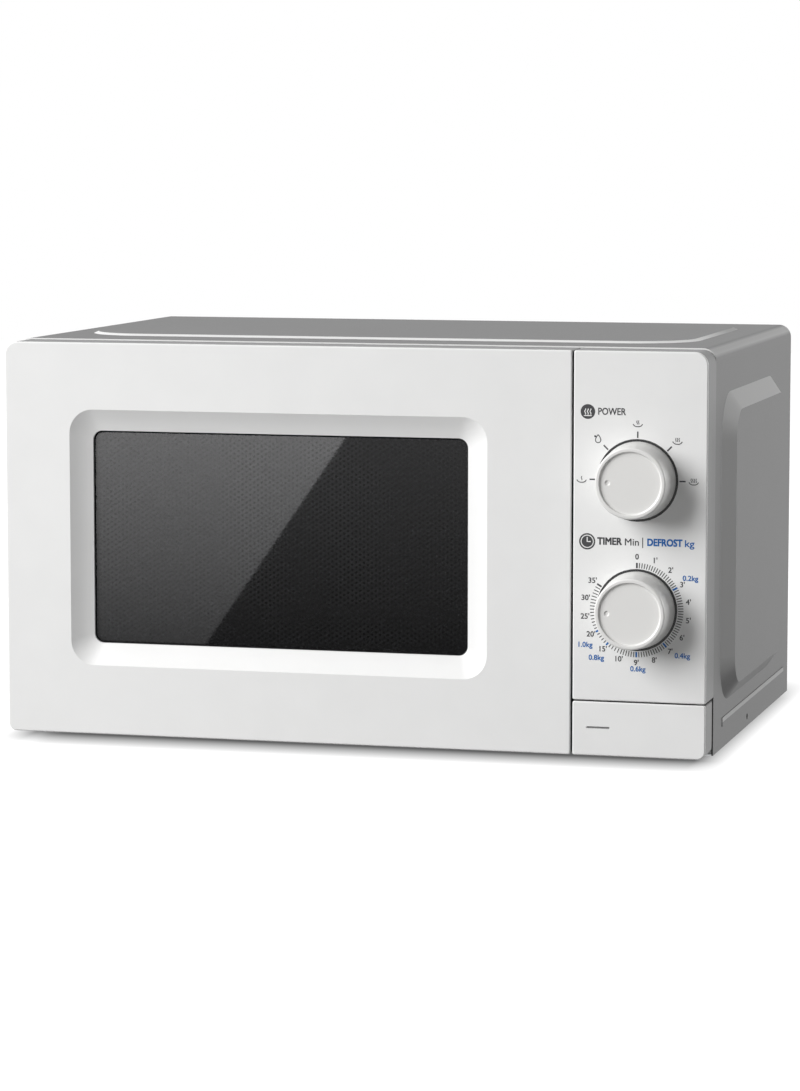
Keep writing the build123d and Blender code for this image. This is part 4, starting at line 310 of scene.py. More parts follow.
def place(tree, stretch=EVEN):
    """Coordinates in metres, stretched for a directional texture."""
    coordinates = tree.nodes.new("ShaderNodeTexCoord")
    mapping = tree.nodes.new("ShaderNodeMapping")
    mapping.inputs["Scale"].default_value = stretch
    tree.links.new(coordinates.outputs["Object"], mapping.inputs["Vector"])
    return mapping.outputs["Vector"]


def noise(tree, vector, scale, detail=3.0):
    """Smooth noise at a scale per metre."""
    texture = tree.nodes.new("ShaderNodeTexNoise")
    texture.inputs["Scale"].default_value = scale
    texture.inputs["Detail"].default_value = detail
    tree.links.new(vector, texture.inputs["Vector"])
    return texture.outputs["Fac"]


def ramp(tree, factor, low, high, start=0.3, end=0.7):
    """A blend from one colour to another over part of a factor."""
    blend = tree.nodes.new("ShaderNodeValToRGB")
    blend.color_ramp.elements[0].position = start
    blend.color_ramp.elements[0].color = (*low, 1.0)
    blend.color_ramp.elements[1].position = end
    blend.color_ramp.elements[1].color = (*high, 1.0)
    tree.links.new(factor, blend.inputs["Fac"])
    return blend.outputs["Color"]


def spread(tree, factor, first, last, start=0.0, end=1.0):
    """A factor's range from start to end, mapped on a range from first to last."""
    reach = tree.nodes.new("ShaderNodeMapRange")
    reach.inputs["From Min"].default_value = start
    reach.inputs["From Max"].default_value = end
    reach.inputs["To Min"].default_value = first
    reach.inputs["To Max"].default_value = last
    tree.links.new(factor, reach.inputs["Value"])
    return reach.outputs["Result"]


def feed(tree, node, values):
    """Puts sockets, numbers or vectors into a node's inputs in order."""
    for socket, value in zip(node.inputs, values):
        if isinstance(value, bpy.types.NodeSocket):
            tree.links.new(value, socket)
        else:
            socket.default_value = value


def sum_of(tree, operation, *values):
    """The result of one sum on values."""
    node = tree.nodes.new("ShaderNodeMath")
    node.operation = operation
    feed(tree, node, values)
    return node.outputs["Value"]


def vector_of(tree, operation, *values):
    """The result of one sum on vectors."""
    node = tree.nodes.new("ShaderNodeVectorMath")
    node.operation = operation
    feed(tree, node, values)
    return node.outputs["Value" if operation == "LENGTH" else "Vector"]


def parts(tree, vector):
    """The x, y and z of a vector."""
    split = tree.nodes.new("ShaderNodeSeparateXYZ")
    tree.links.new(vector, split.inputs["Vector"])
    return split.outputs["X"], split.outputs["Y"], split.outputs["Z"]


def facing(tree):
    """The x, y and z of the way a surface faces."""
    return parts(tree, tree.nodes.new("ShaderNodeTexCoord").outputs["Normal"])


def facing_either_way(tree):
    """How much a surface faces along x, y and z, with no sign."""
    return [sum_of(tree, "ABSOLUTE", part) for part in facing(tree)]


def lay_over(material, factor, colour):
    """Lays another colour over a finish where a factor is one."""
    tree, shader = nodes_of(material)
    blend = tree.nodes.new("ShaderNodeMixRGB")
    base = shader.inputs["Base Color"].links[0].from_socket
    feed(tree, blend, (factor, base, (*colour, 1.0)))
    tree.links.new(blend.outputs["Color"], shader.inputs["Base Color"])


def relief(material, height, strength, distance):
    """Fine relief on a surface."""
    tree, shader = nodes_of(material)
    bump = tree.nodes.new("ShaderNodeBump")
    bump.inputs["Strength"].default_value = strength
    bump.inputs["Distance"].default_value = distance
    tree.links.new(height, bump.inputs["Height"])
    tree.links.new(bump.outputs["Normal"], shader.inputs["Normal"])


def tinted(colour, factor):
    """A colour made lighter or darker."""
    return tuple(min(1.0, channel * factor) for channel in colour)


def surface(name, colour, variation, rough, grain_scale, grain_height, mottle_scale=35.0, stretch=EVEN):
    """A finish with mottled colour, uneven gloss and fine grain."""
    material = new_finish(name)
    tree, shader = nodes_of(material)
    vector = place(tree, stretch)
    mottle = noise(tree, vector, mottle_scale)
    blend = ramp(tree, mottle, tinted(colour, 1 - variation), tinted(colour, 1 + variation))
    tree.links.new(blend, shader.inputs["Base Color"])
    grain = noise(tree, vector, grain_scale, detail=2.0)
    tree.links.new(spread(tree, grain, *rough), shader.inputs["Roughness"])
    relief(material, grain, strength=0.5, distance=grain_height)
    return material


# Plastics
def moulded(name, colour, rough=(0.34, 0.44)):
    """Moulded plastic with a fine spark-eroded grain."""
    return surface(name, colour, variation=0.012, rough=rough, grain_scale=2600.0, grain_height=0.000012)


def outer_wall(tree):
    """One on the front's outer walls, in its seams and past the panel's depth, and zero on its faces."""
    low, high = FRONT_BOX
    half = (high - low) / 2 - Vector((FRONT_CORNER, 0.0, FRONT_CORNER))
    half.y = OUT_OF_REACH
    point = place(tree)
    offset = vector_of(tree, "ABSOLUTE", vector_of(tree, "SUBTRACT", point, (low + high) / 2))
    past = vector_of(tree, "MAXIMUM", vector_of(tree, "SUBTRACT", offset, half), (0.0, 0.0, 0.0))
    rim = sum_of(tree, "GREATER_THAN", vector_of(tree, "LENGTH", past), FRONT_CORNER - FRONT_EDGE)
    x, y, z = parts(tree, point)
    door_seam = sum_of(tree, "COMPARE", x, (PANEL_BOX[0].x + DOOR_BOX[1].x) / 2, SEAM_REACH)
    button_seam = sum_of(tree, "COMPARE", z, (PANEL_BOX[0].z + BUTTON_BOX[1].z) / 2, SEAM_REACH)
    wall = sum_of(tree, "MAXIMUM", rim, sum_of(tree, "MAXIMUM", door_seam, button_seam))
    behind = sum_of(tree, "GREATER_THAN", y, low.y + FRONT_EDGE)
    deep = sum_of(tree, "GREATER_THAN", y, high.y)
    return sum_of(tree, "MAXIMUM", deep, sum_of(tree, "MULTIPLY", wall, behind))


def two_tone(name, face, wall):
    """Moulded plastic with a white face and grey outer walls."""
    material = moulded(name, face)
    tree, shader = nodes_of(material)
    shader.inputs["Specular IOR Level"].default_value = 0.3
    lay_over(material, outer_wall(tree), wall)
    return material


# Paints
def painted(name, colour, rough=(0.50, 0.60), gloss=0.25, peel=0.00002):
    """Sprayed paint with a slight orange peel."""
    material = surface(name, colour, variation=0.015, rough=rough, grain_scale=900.0, grain_height=peel,
                       mottle_scale=12.0)
    shader = nodes_of(material)[1]
    shader.inputs["Specular IOR Level"].default_value = gloss
    return material


def fold_painted_highlight(tree):
    """Part of one on folds and slopes that don't face down."""
    x, y, z = facing_either_way(tree)
    squareness = sum_of(tree, "MAXIMUM", x, sum_of(tree, "MAXIMUM", y, z))
    fold = spread(tree, squareness, first=0.36, last=0.0, start=0.85, end=0.97)
    lit = spread(tree, facing(tree)[2], first=0.0, last=1.0, start=-0.5, end=0.0)
    return sum_of(tree, "MULTIPLY", fold, lit)


def lower_shade(tree):
    """Part of one on slopes that face down."""
    return spread(tree, facing(tree)[2], first=0.6, last=0.0, start=-0.5, end=-0.15)


def edge_painted_highlight(tree):
    """One along the front lip, and round the raised top with less of it towards the back."""
    x, y, z = parts(tree, place(tree))
    _, frontward, upward = facing_either_way(tree)
    lip = sum_of(tree, "MULTIPLY", sum_of(tree, "GREATER_THAN", frontward, LIP_FACING),
                 spread(tree, z, 0.0, 1.0, *LIP_FADE))
    inboard = sum_of(tree, "LESS_THAN", sum_of(tree, "ABSOLUTE", x), SOLIDS_BOX[1][0] - TOP_PRESS_INSET)
    near = spread(tree, y, first=1.0, last=0.15, start=-TOP_PRESS_FADE, end=TOP_PRESS_FADE)
    slope = sum_of(tree, "COMPARE", upward, TOP_PRESS_SLOPE, 0.05)
    crest = sum_of(tree, "MULTIPLY", near, sum_of(tree, "MULTIPLY", slope, inboard))
    return sum_of(tree, "MAXIMUM", lip, crest)


def bead_painted_highlight(tree):
    """Part of one in a line along the bead low on each side."""
    x, _, z = parts(tree, place(tree))
    proud = sum_of(tree, "COMPARE", sum_of(tree, "ABSOLUTE", x), BEAD_FACE, BEAD_FACE_REACH)
    line = sum_of(tree, "COMPARE", z, BEAD_HIGHLIGHT_HEIGHT, BEAD_HIGHLIGHT_REACH)
    return sum_of(tree, "MULTIPLY", sum_of(tree, "MULTIPLY", proud, line), BEAD_HIGHLIGHT_SHARE)


def folded_paint_with_painted_light(name, colour, bright):
    """Sprayed paint on folded sheet, light on its edges and dark where it slopes down."""
    material = painted(name, colour)
    tree = material.node_tree
    # Painted highlights on folds, painted shade on slopes facing down, then painted highlights on the lip,
    # the raised top and the side bead
    lay_over(material, fold_painted_highlight(tree), bright)
    lay_over(material, lower_shade(tree), tinted(colour, 0.3))
    lay_over(material, edge_painted_highlight(tree), bright)
    lay_over(material, bead_painted_highlight(tree), bright)
    return material


def speckled_paint(name, colour):
    """Baked paint with fine pale and dark specks."""
    material = surface(name, colour, variation=0.03, rough=(0.30, 0.42), grain_scale=1400.0,
                       grain_height=0.00002)
    tree, shader = nodes_of(material)
    specks = noise(tree, place(tree), 1100.0, detail=1.0)
    blend = ramp(tree, specks, tinted(colour, 0.72), tinted(colour, 1.12), start=0.36, end=0.62)
    tree.links.new(blend, shader.inputs["Base Color"])
    return material


# Metals, glass and ink
def metal(name, colour, rough, stretch=EVEN):
    """Plain or brushed metal, brushed where it is stretched."""
    material = surface(name, colour, variation=0.06, rough=rough, grain_scale=700.0, grain_height=0.000008,
                       mottle_scale=60.0, stretch=stretch)
    shader = nodes_of(material)[1]
    shader.inputs["Metallic"].default_value = 1.0
    return material


def spangled_zinc(name, colour, paint=None):
    """Zinc coat with its crystal spangle, painted over where it faces the front if a paint is given."""
    material = new_finish(name)
    tree, shader = nodes_of(material)
    cells = tree.nodes.new("ShaderNodeTexVoronoi")
    cells.inputs["Scale"].default_value = 260.0
    tree.links.new(place(tree), cells.inputs["Vector"])
    tone = tree.nodes.new("ShaderNodeSeparateColor")
    tree.links.new(cells.outputs["Color"], tone.inputs["Color"])
    crystal = tone.outputs["Red"]
    blend = ramp(tree, crystal, tinted(colour, 0.90), tinted(colour, 1.06), start=0.0, end=1.0)
    tree.links.new(blend, shader.inputs["Base Color"])
    tree.links.new(spread(tree, crystal, 0.36, 0.50), shader.inputs["Roughness"])
    shader.inputs["Metallic"].default_value = 1.0
    if paint:
        front = sum_of(tree, "LESS_THAN", facing(tree)[1], -0.05)
        lay_over(material, front, paint)
        tree.links.new(sum_of(tree, "SUBTRACT", 1.0, front), shader.inputs["Metallic"])
    return material


def banded(name, colour, scale, axis):
    """Fine parallel bands of metal, for laminations and wound wire."""
    material = new_finish(name)
    tree, shader = nodes_of(material)
    wave = tree.nodes.new("ShaderNodeTexWave")
    wave.bands_direction = axis
    wave.inputs["Scale"].default_value = scale
    wave.inputs["Distortion"].default_value = 0.6
    tree.links.new(place(tree), wave.inputs["Vector"])
    bands = wave.outputs["Fac"]
    blend = ramp(tree, bands, tinted(colour, 0.6), tinted(colour, 1.15))
    tree.links.new(blend, shader.inputs["Base Color"])
    tree.links.new(spread(tree, bands, 0.32, 0.5), shader.inputs["Roughness"])
    relief(material, bands, strength=0.6, distance=0.0001)
    shader.inputs["Metallic"].default_value = 1.0
    return material


def glass(name, colour, haze, index=1.5):
    """Clear or tinted glass with faint haze."""
    material = new_finish(name)
    tree, shader = nodes_of(material)
    smear = noise(tree, place(tree), 18.0)
    blend = ramp(tree, smear, tinted(colour, 0.97), tinted(colour, 1.03))
    tree.links.new(blend, shader.inputs["Base Color"])
    tree.links.new(spread(tree, smear, *haze), shader.inputs["Roughness"])
    shader.inputs["Transmission Weight"].default_value = 1.0
    shader.inputs["IOR"].default_value = index
    return material


def ink(name, colour):
    """Screen-printed ink, a little uneven."""
    return surface(name, colour, variation=0.05, rough=(0.45, 0.6), grain_scale=3000.0, grain_height=0.000004,
                   mottle_scale=400.0)


def coat(material, *names):
    """Gives solids a finish."""
    for name in names:
        solid = NODES[name]
        solid.data.materials.clear()
        solid.data.materials.append(material)


# Building blocks of the marks
def add_piece(name, mesh_maker, material, body):
    """A new mesh piece that moves with a body."""
    shape = bmesh.new()
    mesh_maker(shape)
    data = bpy.data.meshes.new(name)
    shape.to_mesh(data)
    shape.free()
    piece = bpy.data.objects.new(name, data)
    bpy.context.scene.collection.objects.link(piece)
    data.materials.append(material)
    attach(piece, body)
    return piece


def on_panel(x, z, lift=INK_LIFT):
    """A point printed on the control panel's face."""
    return Vector((x, PANEL_FACE - lift, z))


def dial_point(centre, radius, clock_angle):
    """A point round a dial, with the angle clockwise from the top."""
    return (centre[0] + radius * sin(clock_angle), centre[1] + radius * cos(clock_angle))


def ribbon(shape, points, width, lift=INK_LIFT):
    """A printed line of even width through points on the panel."""
    rims = []
    for index, point in enumerate(points):
        before = Vector(points[max(index - 1, 0)])
        after = Vector(points[min(index + 1, len(points) - 1)])
        run = (after - before).normalized()
        side = Vector((-run.y, run.x)) * width / 2
        centre = Vector(point)
        rims.append([shape.verts.new(on_panel(*(centre + offset), lift)) for offset in (side, -side)])
    for first, second in zip(rims, rims[1:]):
        shape.faces.new((first[0], second[0], second[1], first[1]))


def disc(shape, centre, radius, inner=0.0):
    """A printed disc, or a ring where an inner radius is given."""
    sides = marks().disc_sides
    angles = [tau * step / sides for step in range(sides)]
    rim = [shape.verts.new(on_panel(*dial_point(centre, radius, angle))) for angle in angles]
    if inner == 0.0:
        shape.faces.new(rim)
        return
    hole = [shape.verts.new(on_panel(*dial_point(centre, inner, angle))) for angle in angles]
    for step in range(sides):
        follow = (step + 1) % sides
        shape.faces.new((rim[step], rim[follow], hole[follow], hole[step]))


def lettering(shape, text, centre, size, bold, width=None):
    """Printed words or numbers about a point, or from it over a width, struck round a small square."""
    curve = bpy.data.curves.new(text, "FONT")
    curve.body = text
    curve.size = size
    curve.align_x = "LEFT" if width else "CENTER"
    curve.align_y = "CENTER"
    curve.resolution_u = 3
    holder = bpy.data.objects.new(text, curve)
    bpy.context.scene.collection.objects.link(holder)
    bpy.context.view_layer.update()
    outline = bpy.data.meshes.new_from_object(holder)
    condense = width / holder.dimensions.x if width else 1.0
    upright = Matrix.Rotation(pi / 2, 4, "X") @ Matrix.Diagonal((condense, 1, 1, 1))
    outline.transform(Matrix.Translation(on_panel(*centre)) @ upright)
    for right, up in ((0, 0), (bold, 0), (0, bold), (-bold, 0)):
        outline.transform(Matrix.Translation((right, -STRIKE_LIFT, up)))
        shape.from_mesh(outline)
    bpy.data.objects.remove(holder)
    bpy.data.curves.remove(curve)
    bpy.data.meshes.remove(outline)


def axis_of(box):
    """The x and z of a knob's axis from its box."""
    return ((box[0][0] + box[1][0]) / 2, (box[0][2] + box[1][2]) / 2)


def knob_painted_shadow_ring(shape, box):
    """Dark ring where a knob meets the panel."""
    radius = (box[1][0] - box[0][0]) / 2
    disc(shape, axis_of(box), radius + KNOB_SHADOW_OUTSIDE, inner=radius - KNOB_SHADOW_INSIDE)


def heading_icon(box):
    """Centre of the icon that starts the heading above a knob."""
    x, z = axis_of(box)
    return (x - marks().heading_icon_left, z + marks().heading_rise)


def heading_words(shape, box, words):
    """Words of the heading above a knob."""
    x, z = axis_of(box)
    height = z + marks().heading_rise
    for text, start, width, bold in words:
        lettering(shape, text, (x + start, height), marks().word_height, bold, width)


# Power dial
def steam_line(shape, root, sway, bend, rise, steps, width, lift=INK_LIFT):
    """A wavy line of steam that rises from its root."""
    x, z = root
    wave = [(x + sway * sin(step * bend), z + step * rise) for step in range(steps)]
    ribbon(shape, wave, width, lift)


def steam_bowl(shape, centre, plumes):
    """A small bowl with rising steam."""
    width = marks().stroke
    x, z = centre
    bowl = [(x - out, z + up) for out, up in reversed(BOWL_SIDE)]
    bowl += [(x + out, z + up) for out, up in BOWL_SIDE]
    ribbon(shape, bowl, width)
    for plume in range(plumes):
        root = (x + PLUME_GAP * (plume - (plumes - 1) / 2), z - PLUME_DROP)
        steam_line(shape, root, sway=0.00022, bend=1.5, rise=0.00048, steps=6, width=width * 0.8)


def drop(shape, centre):
    """A small drop with its tip up, and a droplet beside it."""
    x, z = centre
    outline = []
    for step in range(DROP_STEPS + 1):
        turn = tau * step / DROP_STEPS
        right = DROP_HALF_WIDTH * sin(turn) * sin(turn / 2)
        outline.append((x + right, z + DROP_RISE + DROP_HALF_HEIGHT * cos(turn)))
    ribbon(shape, outline, marks().stroke)
    disc(shape, (x - DROPLET_OFFSET, z + DROPLET_OFFSET), DROPLET_RADIUS)


def power_scale(shape):
    """Power heading, ticks and symbols."""
    axis = axis_of(POWER_KNOB)
    for step, plumes in enumerate(POWER_PLUMES):
        turn = radians(POWER_STEP * (step - len(POWER_PLUMES) // 2))
        ribbon(shape, [dial_point(axis, radius, turn) for radius in POWER_TICK], marks().stroke * 1.6)
        spot = dial_point(axis, marks().symbol_radius, turn)
        if plumes:
            steam_bowl(shape, spot, plumes)
        else:
            drop(shape, spot)
    disc(shape, heading_icon(POWER_KNOB), POWER_ICON)
    heading_words(shape, POWER_KNOB, POWER_WORDS)


def power_steam(shape):
    """Pale steam lines and a base line over the heading's disc."""
    width = marks().stroke
    x, z = heading_icon(POWER_KNOB)
    for plume in (-1, 0, 1):
        root = (x + ICON_PLUME_GAP * plume, z - ICON_PLUME_DROP)
        steam_line(shape, root, sway=0.0003, bend=1.1, rise=0.00045, steps=9, width=width,
                   lift=OVERPRINT_LIFT)
    base = [(x - ICON_LINE, z - ICON_LINE), (x + ICON_LINE, z - ICON_LINE)]
    ribbon(shape, base, width, OVERPRINT_LIFT)


# Timer dial
def minute_angle(minutes):
    """Angle of a time on the timer."""
    wide = min(minutes, WIDE_MINUTES)
    return radians(WIDE_STEP * wide + NARROW_STEP * (minutes - wide))


def tick(shape, axis, minutes, width):
    """One tick of the timer's scale."""
    radii = (marks().scale_inner, marks().scale_outer)
    ribbon(shape, [dial_point(axis, radius, minute_angle(minutes)) for radius in radii], width)


def timer_scale(shape):
    """Timer heading, ticks and numbers."""
    sizes = marks()
    axis = axis_of(TIMER_KNOB)
    fine = [step / TICKS_PER_MINUTE for step in range(1, TICKS_PER_MINUTE * WIDE_MINUTES + 1)]
    for minutes in (*fine, *range(WIDE_MINUTES + 1, LAST_MINUTE)):
        if minutes not in BLUE_MINUTES:
            tick(shape, axis, minutes, sizes.stroke)
    for minutes in (0, LAST_MINUTE):
        tick(shape, axis, minutes, sizes.stroke * 2)
    for minutes in NUMBERED_MINUTES:
        text = f"{minutes}'" if minutes else "0"
        spot = dial_point(axis, sizes.number_radius, minute_angle(minutes))
        lettering(shape, text, spot, sizes.number_height, NUMBER_BOLD)
    clock = heading_icon(TIMER_KNOB)
    disc(shape, clock, CLOCK_RIM[0], inner=CLOCK_RIM[1])
    disc(shape, clock, CLOCK_FACE)
    heading_words(shape, TIMER_KNOB, TIMER_WORDS)
    divider = axis[0] + DIVIDER_RIGHT
    height = axis[1] + sizes.heading_rise
    ribbon(shape, [(divider, height - DIVIDER_HALF), (divider, height + DIVIDER_HALF)], sizes.stroke)


def timer_hands(shape):
    """Pale hands on the heading's clock."""
    x, z = heading_icon(TIMER_KNOB)
    ribbon(shape, [(x + right, z + up) for right, up in CLOCK_HANDS], marks().stroke * 1.2, OVERPRINT_LIFT)


def defrost_scale(shape):
    """Blue defrost heading, ticks and weights."""
    sizes = marks()
    axis = axis_of(TIMER_KNOB)
    for minutes in BLUE_MINUTES:
        tick(shape, axis, minutes, sizes.stroke * 2)
    for text, right, up in WEIGHTS:
        lettering(shape, text, (axis[0] + right, axis[1] + up), sizes.weight_height, WEIGHT_BOLD)
    heading_words(shape, TIMER_KNOB, DEFROST_WORDS)


# Door window and button
def frame_ring(shape, outer, inner):
    """Flat ring between two outlines that have the same number of points."""
    rims = [[shape.verts.new(point) for point in outline] for outline in (outer, inner)]
    count = len(outer)
    for step in range(count):
        follow = (step + 1) % count
        shape.faces.new((rims[0][step], rims[0][follow], rims[1][follow], rims[1][step]))


def box_outline(low, high, y, inset):
    """Corners of a box's front, drawn in by an inset."""
    left, right = (low.x + inset, high.x - inset)
    bottom, top = (low.z + inset, high.z - inset)
    return [(left, y, bottom), (right, y, bottom), (right, y, top), (left, y, top)]


def rounded_outline(low, high, y, inset, radius):
    """Points round a box's front, drawn in by an inset and rounded at its corners."""
    points = []
    for turn, (x, _, z) in zip((pi, 1.5 * pi, 0.0, 0.5 * pi), box_outline(low, high, y, inset + radius)):
        for step in range(CORNER_STEPS + 1):
            angle = turn + step * pi / (2 * CORNER_STEPS)
            points.append((x + radius * cos(angle), y, z + radius * sin(angle)))
    return points


def honeycomb(shape):
    """Perforated sheet: a plain edge round columns of holes set in a honeycomb."""
    sizes = bpy.context.scene.oven_screen
    low, high = (Vector(corner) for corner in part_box("door_screen"))
    y = (low.y + high.y) / 2
    columns = int((high.x - low.x - 2 * sizes.margin) / sizes.column_step)
    rows = int((high.z - low.z - 2 * sizes.margin) / sizes.pitch)
    half = sizes.pitch / 2
    far = (sizes.column_step ** 2 + half ** 2) / (2 * sizes.column_step)
    near = sizes.column_step - far
    cell = [(far, 0.0), (near, half), (-near, half), (-far, 0.0), (-near, -half), (near, -half)]
    sides = len(cell)
    angles = [tau * turn / sides for turn in range(sides)]
    hole = [(sizes.hole_radius * cos(angle), sizes.hole_radius * sin(angle)) for angle in angles]
    corners = {}

    def corner(x, z):
        key = (round(x * CORNERS_PER_METRE), round(z * CORNERS_PER_METRE))
        if key not in corners:
            corners[key] = shape.verts.new((x, y, z))
        return corners[key]

    for column in range(columns):
        x = low.x + sizes.margin + (column + 0.5) * sizes.column_step
        for row in range(rows):
            z = low.z + sizes.margin + (row + 0.5 + 0.5 * (column % 2)) * sizes.pitch
            rim = [corner(x + right, z + up) for right, up in cell]
            inside = [shape.verts.new((x + right, y, z + up)) for right, up in hole]
            for turn in range(sides):
                follow = (turn + 1) % sides
                shape.faces.new((rim[turn], rim[follow], inside[follow], inside[turn]))
    edge = sizes.margin + sizes.pitch
    back = y + INK_LIFT
    frame_ring(shape, box_outline(low, high, back, 0.0), box_outline(low, high, back, edge))


def window_edge_painted_shadow(shape):
    """Dark line printed on the glass along the edge of the frame."""
    low, high = (Vector(corner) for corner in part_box("door_glass"))
    y = low.y - INK_LIFT
    insets = (GLASS_OVERLAP - EDGE_SHADOW_HIDDEN, GLASS_OVERLAP + EDGE_SHADOW_SHOWN)
    outer, inner = [rounded_outline(low, high, y, *edge) for edge in zip(insets, EDGE_SHADOW_CORNERS)]
    frame_ring(shape, outer, inner)


def groove_painted_shade(shape):
    """Dark bottom of the short groove in the button."""
    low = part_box("door_button")[0]
    left = low[0] + GROOVE_SHADE_LEFT
    height = low[2] + GROOVE_SHADE_RISE
    ribbon(shape, [(left, height), (left + GROOVE_SHADE_LENGTH, height)], GROOVE_SHADE_WIDTH, -GROOVE_SHADE_DEPTH)


# Springs
def longest_side(box):
    """A box's extent, and the axis along which it is longest."""
    extent = Vector(box[1]) - Vector(box[0])
    return extent, max(range(3), key=lambda part: extent[part])


def coil(shape, box):
    """A round-wire coil that fills a box along its longest side."""
    low, high = (Vector(corner) for corner in box)
    extent, run = longest_side(box)
    first, second = ((run + 1) % 3, (run + 2) % 3)
    radius = extent[first] / 2 - WIRE_RADIUS
    along = Vector([float(part == run) for part in range(3)])
    angles = [tau * side / WIRE_SIDES for side in range(WIRE_SIDES)]
    steps = COIL_STEPS * COIL_TURNS
    rings = []
    for step in range(steps + 1):
        turn = tau * COIL_TURNS * step / steps
        outward = Vector((0.0, 0.0, 0.0))
        outward[first] = cos(turn)
        outward[second] = sin(turn)
        centre = (low + high) / 2 + outward * radius
        centre[run] = low[run] + WIRE_RADIUS + (extent[run] - 2 * WIRE_RADIUS) * step / steps
        spokes = [outward * cos(angle) + along * sin(angle) for angle in angles]
        rings.append([shape.verts.new(centre + spoke * WIRE_RADIUS) for spoke in spokes])
    for before, after in zip(rings, rings[1:]):
        for side in range(WIRE_SIDES):
            follow = (side + 1) % WIRE_SIDES
            shape.faces.new((before[side], before[follow], after[follow], after[side]))
    shape.faces.new(rings[0])
    shape.faces.new(rings[-1])


def add_spring(name, node, body, material):
    """A spring that shortens towards its far end as a joint moves."""
    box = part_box(node)
    spring = add_piece(name, lambda shape: coil(shape, box), material, body)
    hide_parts(node)
    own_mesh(spring)


# Studio
def seen_rays(tree):
    """One for rays that show the background: straight, mirrored or through glass."""
    path = tree.nodes.new("ShaderNodeLightPath").outputs
    mirrored = sum_of(tree, "MAXIMUM", path["Is Glossy Ray"], path["Is Transmission Ray"])
    return sum_of(tree, "MAXIMUM", path["Is Camera Ray"], mirrored)


def floor_painted_shadow(tree):
    """One under the oven, and less towards the soft ends of its shadow."""
    studio = bpy.context.scene.oven_studio
    front_end = FRONT_BOX[0].y
    rear_end = SOLIDS_BOX[1][1]
    reach = FRONT_BOX[1].x + SHADOW_LEAN + SHADOW_PAST
    x, y, _ = parts(tree, place(tree))
    across = sum_of(tree, "ABSOLUTE", sum_of(tree, "ADD", x, SHADOW_LEAN))
    side = spread(tree, across, 1.0, 0.0, reach - studio.shadow_side, reach)
    front = spread(tree, y, 0.0, 1.0, front_end + SHADOW_START, front_end + studio.shadow_front)
    rear = spread(tree, y, 1.0, 0.0, rear_end, rear_end + studio.shadow_rear)
    return sum_of(tree, "MULTIPLY", side, sum_of(tree, "MULTIPLY", front, rear))


def floor_material():
    """Pale floor that stays white for the camera but for the soft shadow under the oven."""
    material = new_finish("studio_floor")
    tree, shader = nodes_of(material)
    shader.inputs["Base Color"].default_value = FLOOR_GREY
    shader.inputs["Roughness"].default_value = 0.9
    shader.inputs["Specular IOR Level"].default_value = 0.0
    shader.inputs["Emission Color"].default_value = WHITE
    glow = spread(tree, floor_painted_shadow(tree), bpy.context.scene.oven_studio.floor_glow, SHADOW_GLOW)
    strength = sum_of(tree, "MULTIPLY", glow, seen_rays(tree))
    tree.links.new(strength, shader.inputs["Emission Strength"])
    return material


def sheet_object(name, corners, material):
    """A flat stage sheet from its corners."""
    data = bpy.data.meshes.new(name)
    data.from_pydata(corners, [], [tuple(range(len(corners)))])
    sheet = bpy.data.objects.new(name, data)
    bpy.context.scene.collection.objects.link(sheet)
    data.materials.append(material)
    return sheet


def floor():
    """The square floor."""
    ends = ((-1, -1), (1, -1), (1, 1), (-1, 1))
    sheet_object("floor", [(x * FLOOR_REACH, y * FLOOR_REACH, 0) for x, y in ends], floor_material())


def backdrop():
    """White surroundings for the camera and even light from all round."""
    world = bpy.data.worlds.new("studio")
    world.use_nodes = True
    bpy.context.scene.world = world
    tree = world.node_tree
    sky = tree.nodes["Background"]
    sky.inputs["Color"].default_value = WHITE
    strength = spread(tree, seen_rays(tree), bpy.context.scene.oven_studio.ambient, 1.0)
    tree.links.new(strength, sky.inputs["Strength"])


def lamp(name, where, aim, size, power):
    """A square soft lamp that faces a point."""
    data = bpy.data.lights.new(name, "AREA")
    data.size = size
    data.energy = power
    holder = bpy.data.objects.new(name, data)
    holder.location = where
    holder.rotation_euler = (Vector(aim) - Vector(where)).to_track_quat("-Z", "Y").to_euler()
    bpy.context.scene.collection.objects.link(holder)


def card_corners(end):
    """Corners of a card that the window mirrors from the slanted edge to an end."""
    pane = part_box("door_glass")[0][1]
    eye = Vector(bpy.context.scene.oven_studio.camera_place)
    mirrored = Vector((eye.x, 2 * pane - eye.y, eye.z))
    corners = []
    for x, z in (*GLARE_EDGE, (end, GLARE_EDGE[1][1]), (end, GLARE_EDGE[0][1])):
        ray = Vector((x, pane, z)) - mirrored
        corners.append(mirrored + ray * ((CARD_DEPTH - mirrored.y) / ray.y))
    return corners


def mirrored_card(name, end, strength):
    """A card out of view, on one side of the slanted edge that shows in the window."""
    material = new_finish(name)
    tree, shader = nodes_of(material)
    tree.nodes.remove(shader)
    light = tree.nodes.new("ShaderNodeEmission")
    height = parts(tree, place(tree))[2]
    fade = spread(tree, height, strength * CARD_FOOT_SHARE, strength, 0.0, CARD_FADE_HEIGHT)
    tree.links.new(fade, light.inputs["Strength"])
    tree.links.new(light.outputs["Emission"], tree.nodes["Material Output"].inputs["Surface"])
    card = sheet_object(name, card_corners(end), material)
    card.visible_camera = False
    card.visible_diffuse = False
    card.visible_shadow = False


def photo_camera():
    """The camera at the studio's viewing angle."""
    scene = bpy.context.scene
    studio = scene.oven_studio
    camera = bpy.data.cameras.new("photo_camera")
    camera.lens = studio.lens
    camera.sensor_fit = "VERTICAL"
    camera.sensor_height = SENSOR_HEIGHT
    camera.clip_end = VIEW_DEPTH
    holder = bpy.data.objects.new("photo_camera", camera)
    holder.location = studio.camera_place
    holder.rotation_euler = (pi / 2 - studio.camera_down, 0.0, studio.camera_left)
    scene.collection.objects.link(holder)
    scene.camera = holder


# Steps of dressing the oven
class OvenStep:
    """What the steps have in common."""
    bl_options = {"REGISTER", "UNDO"}


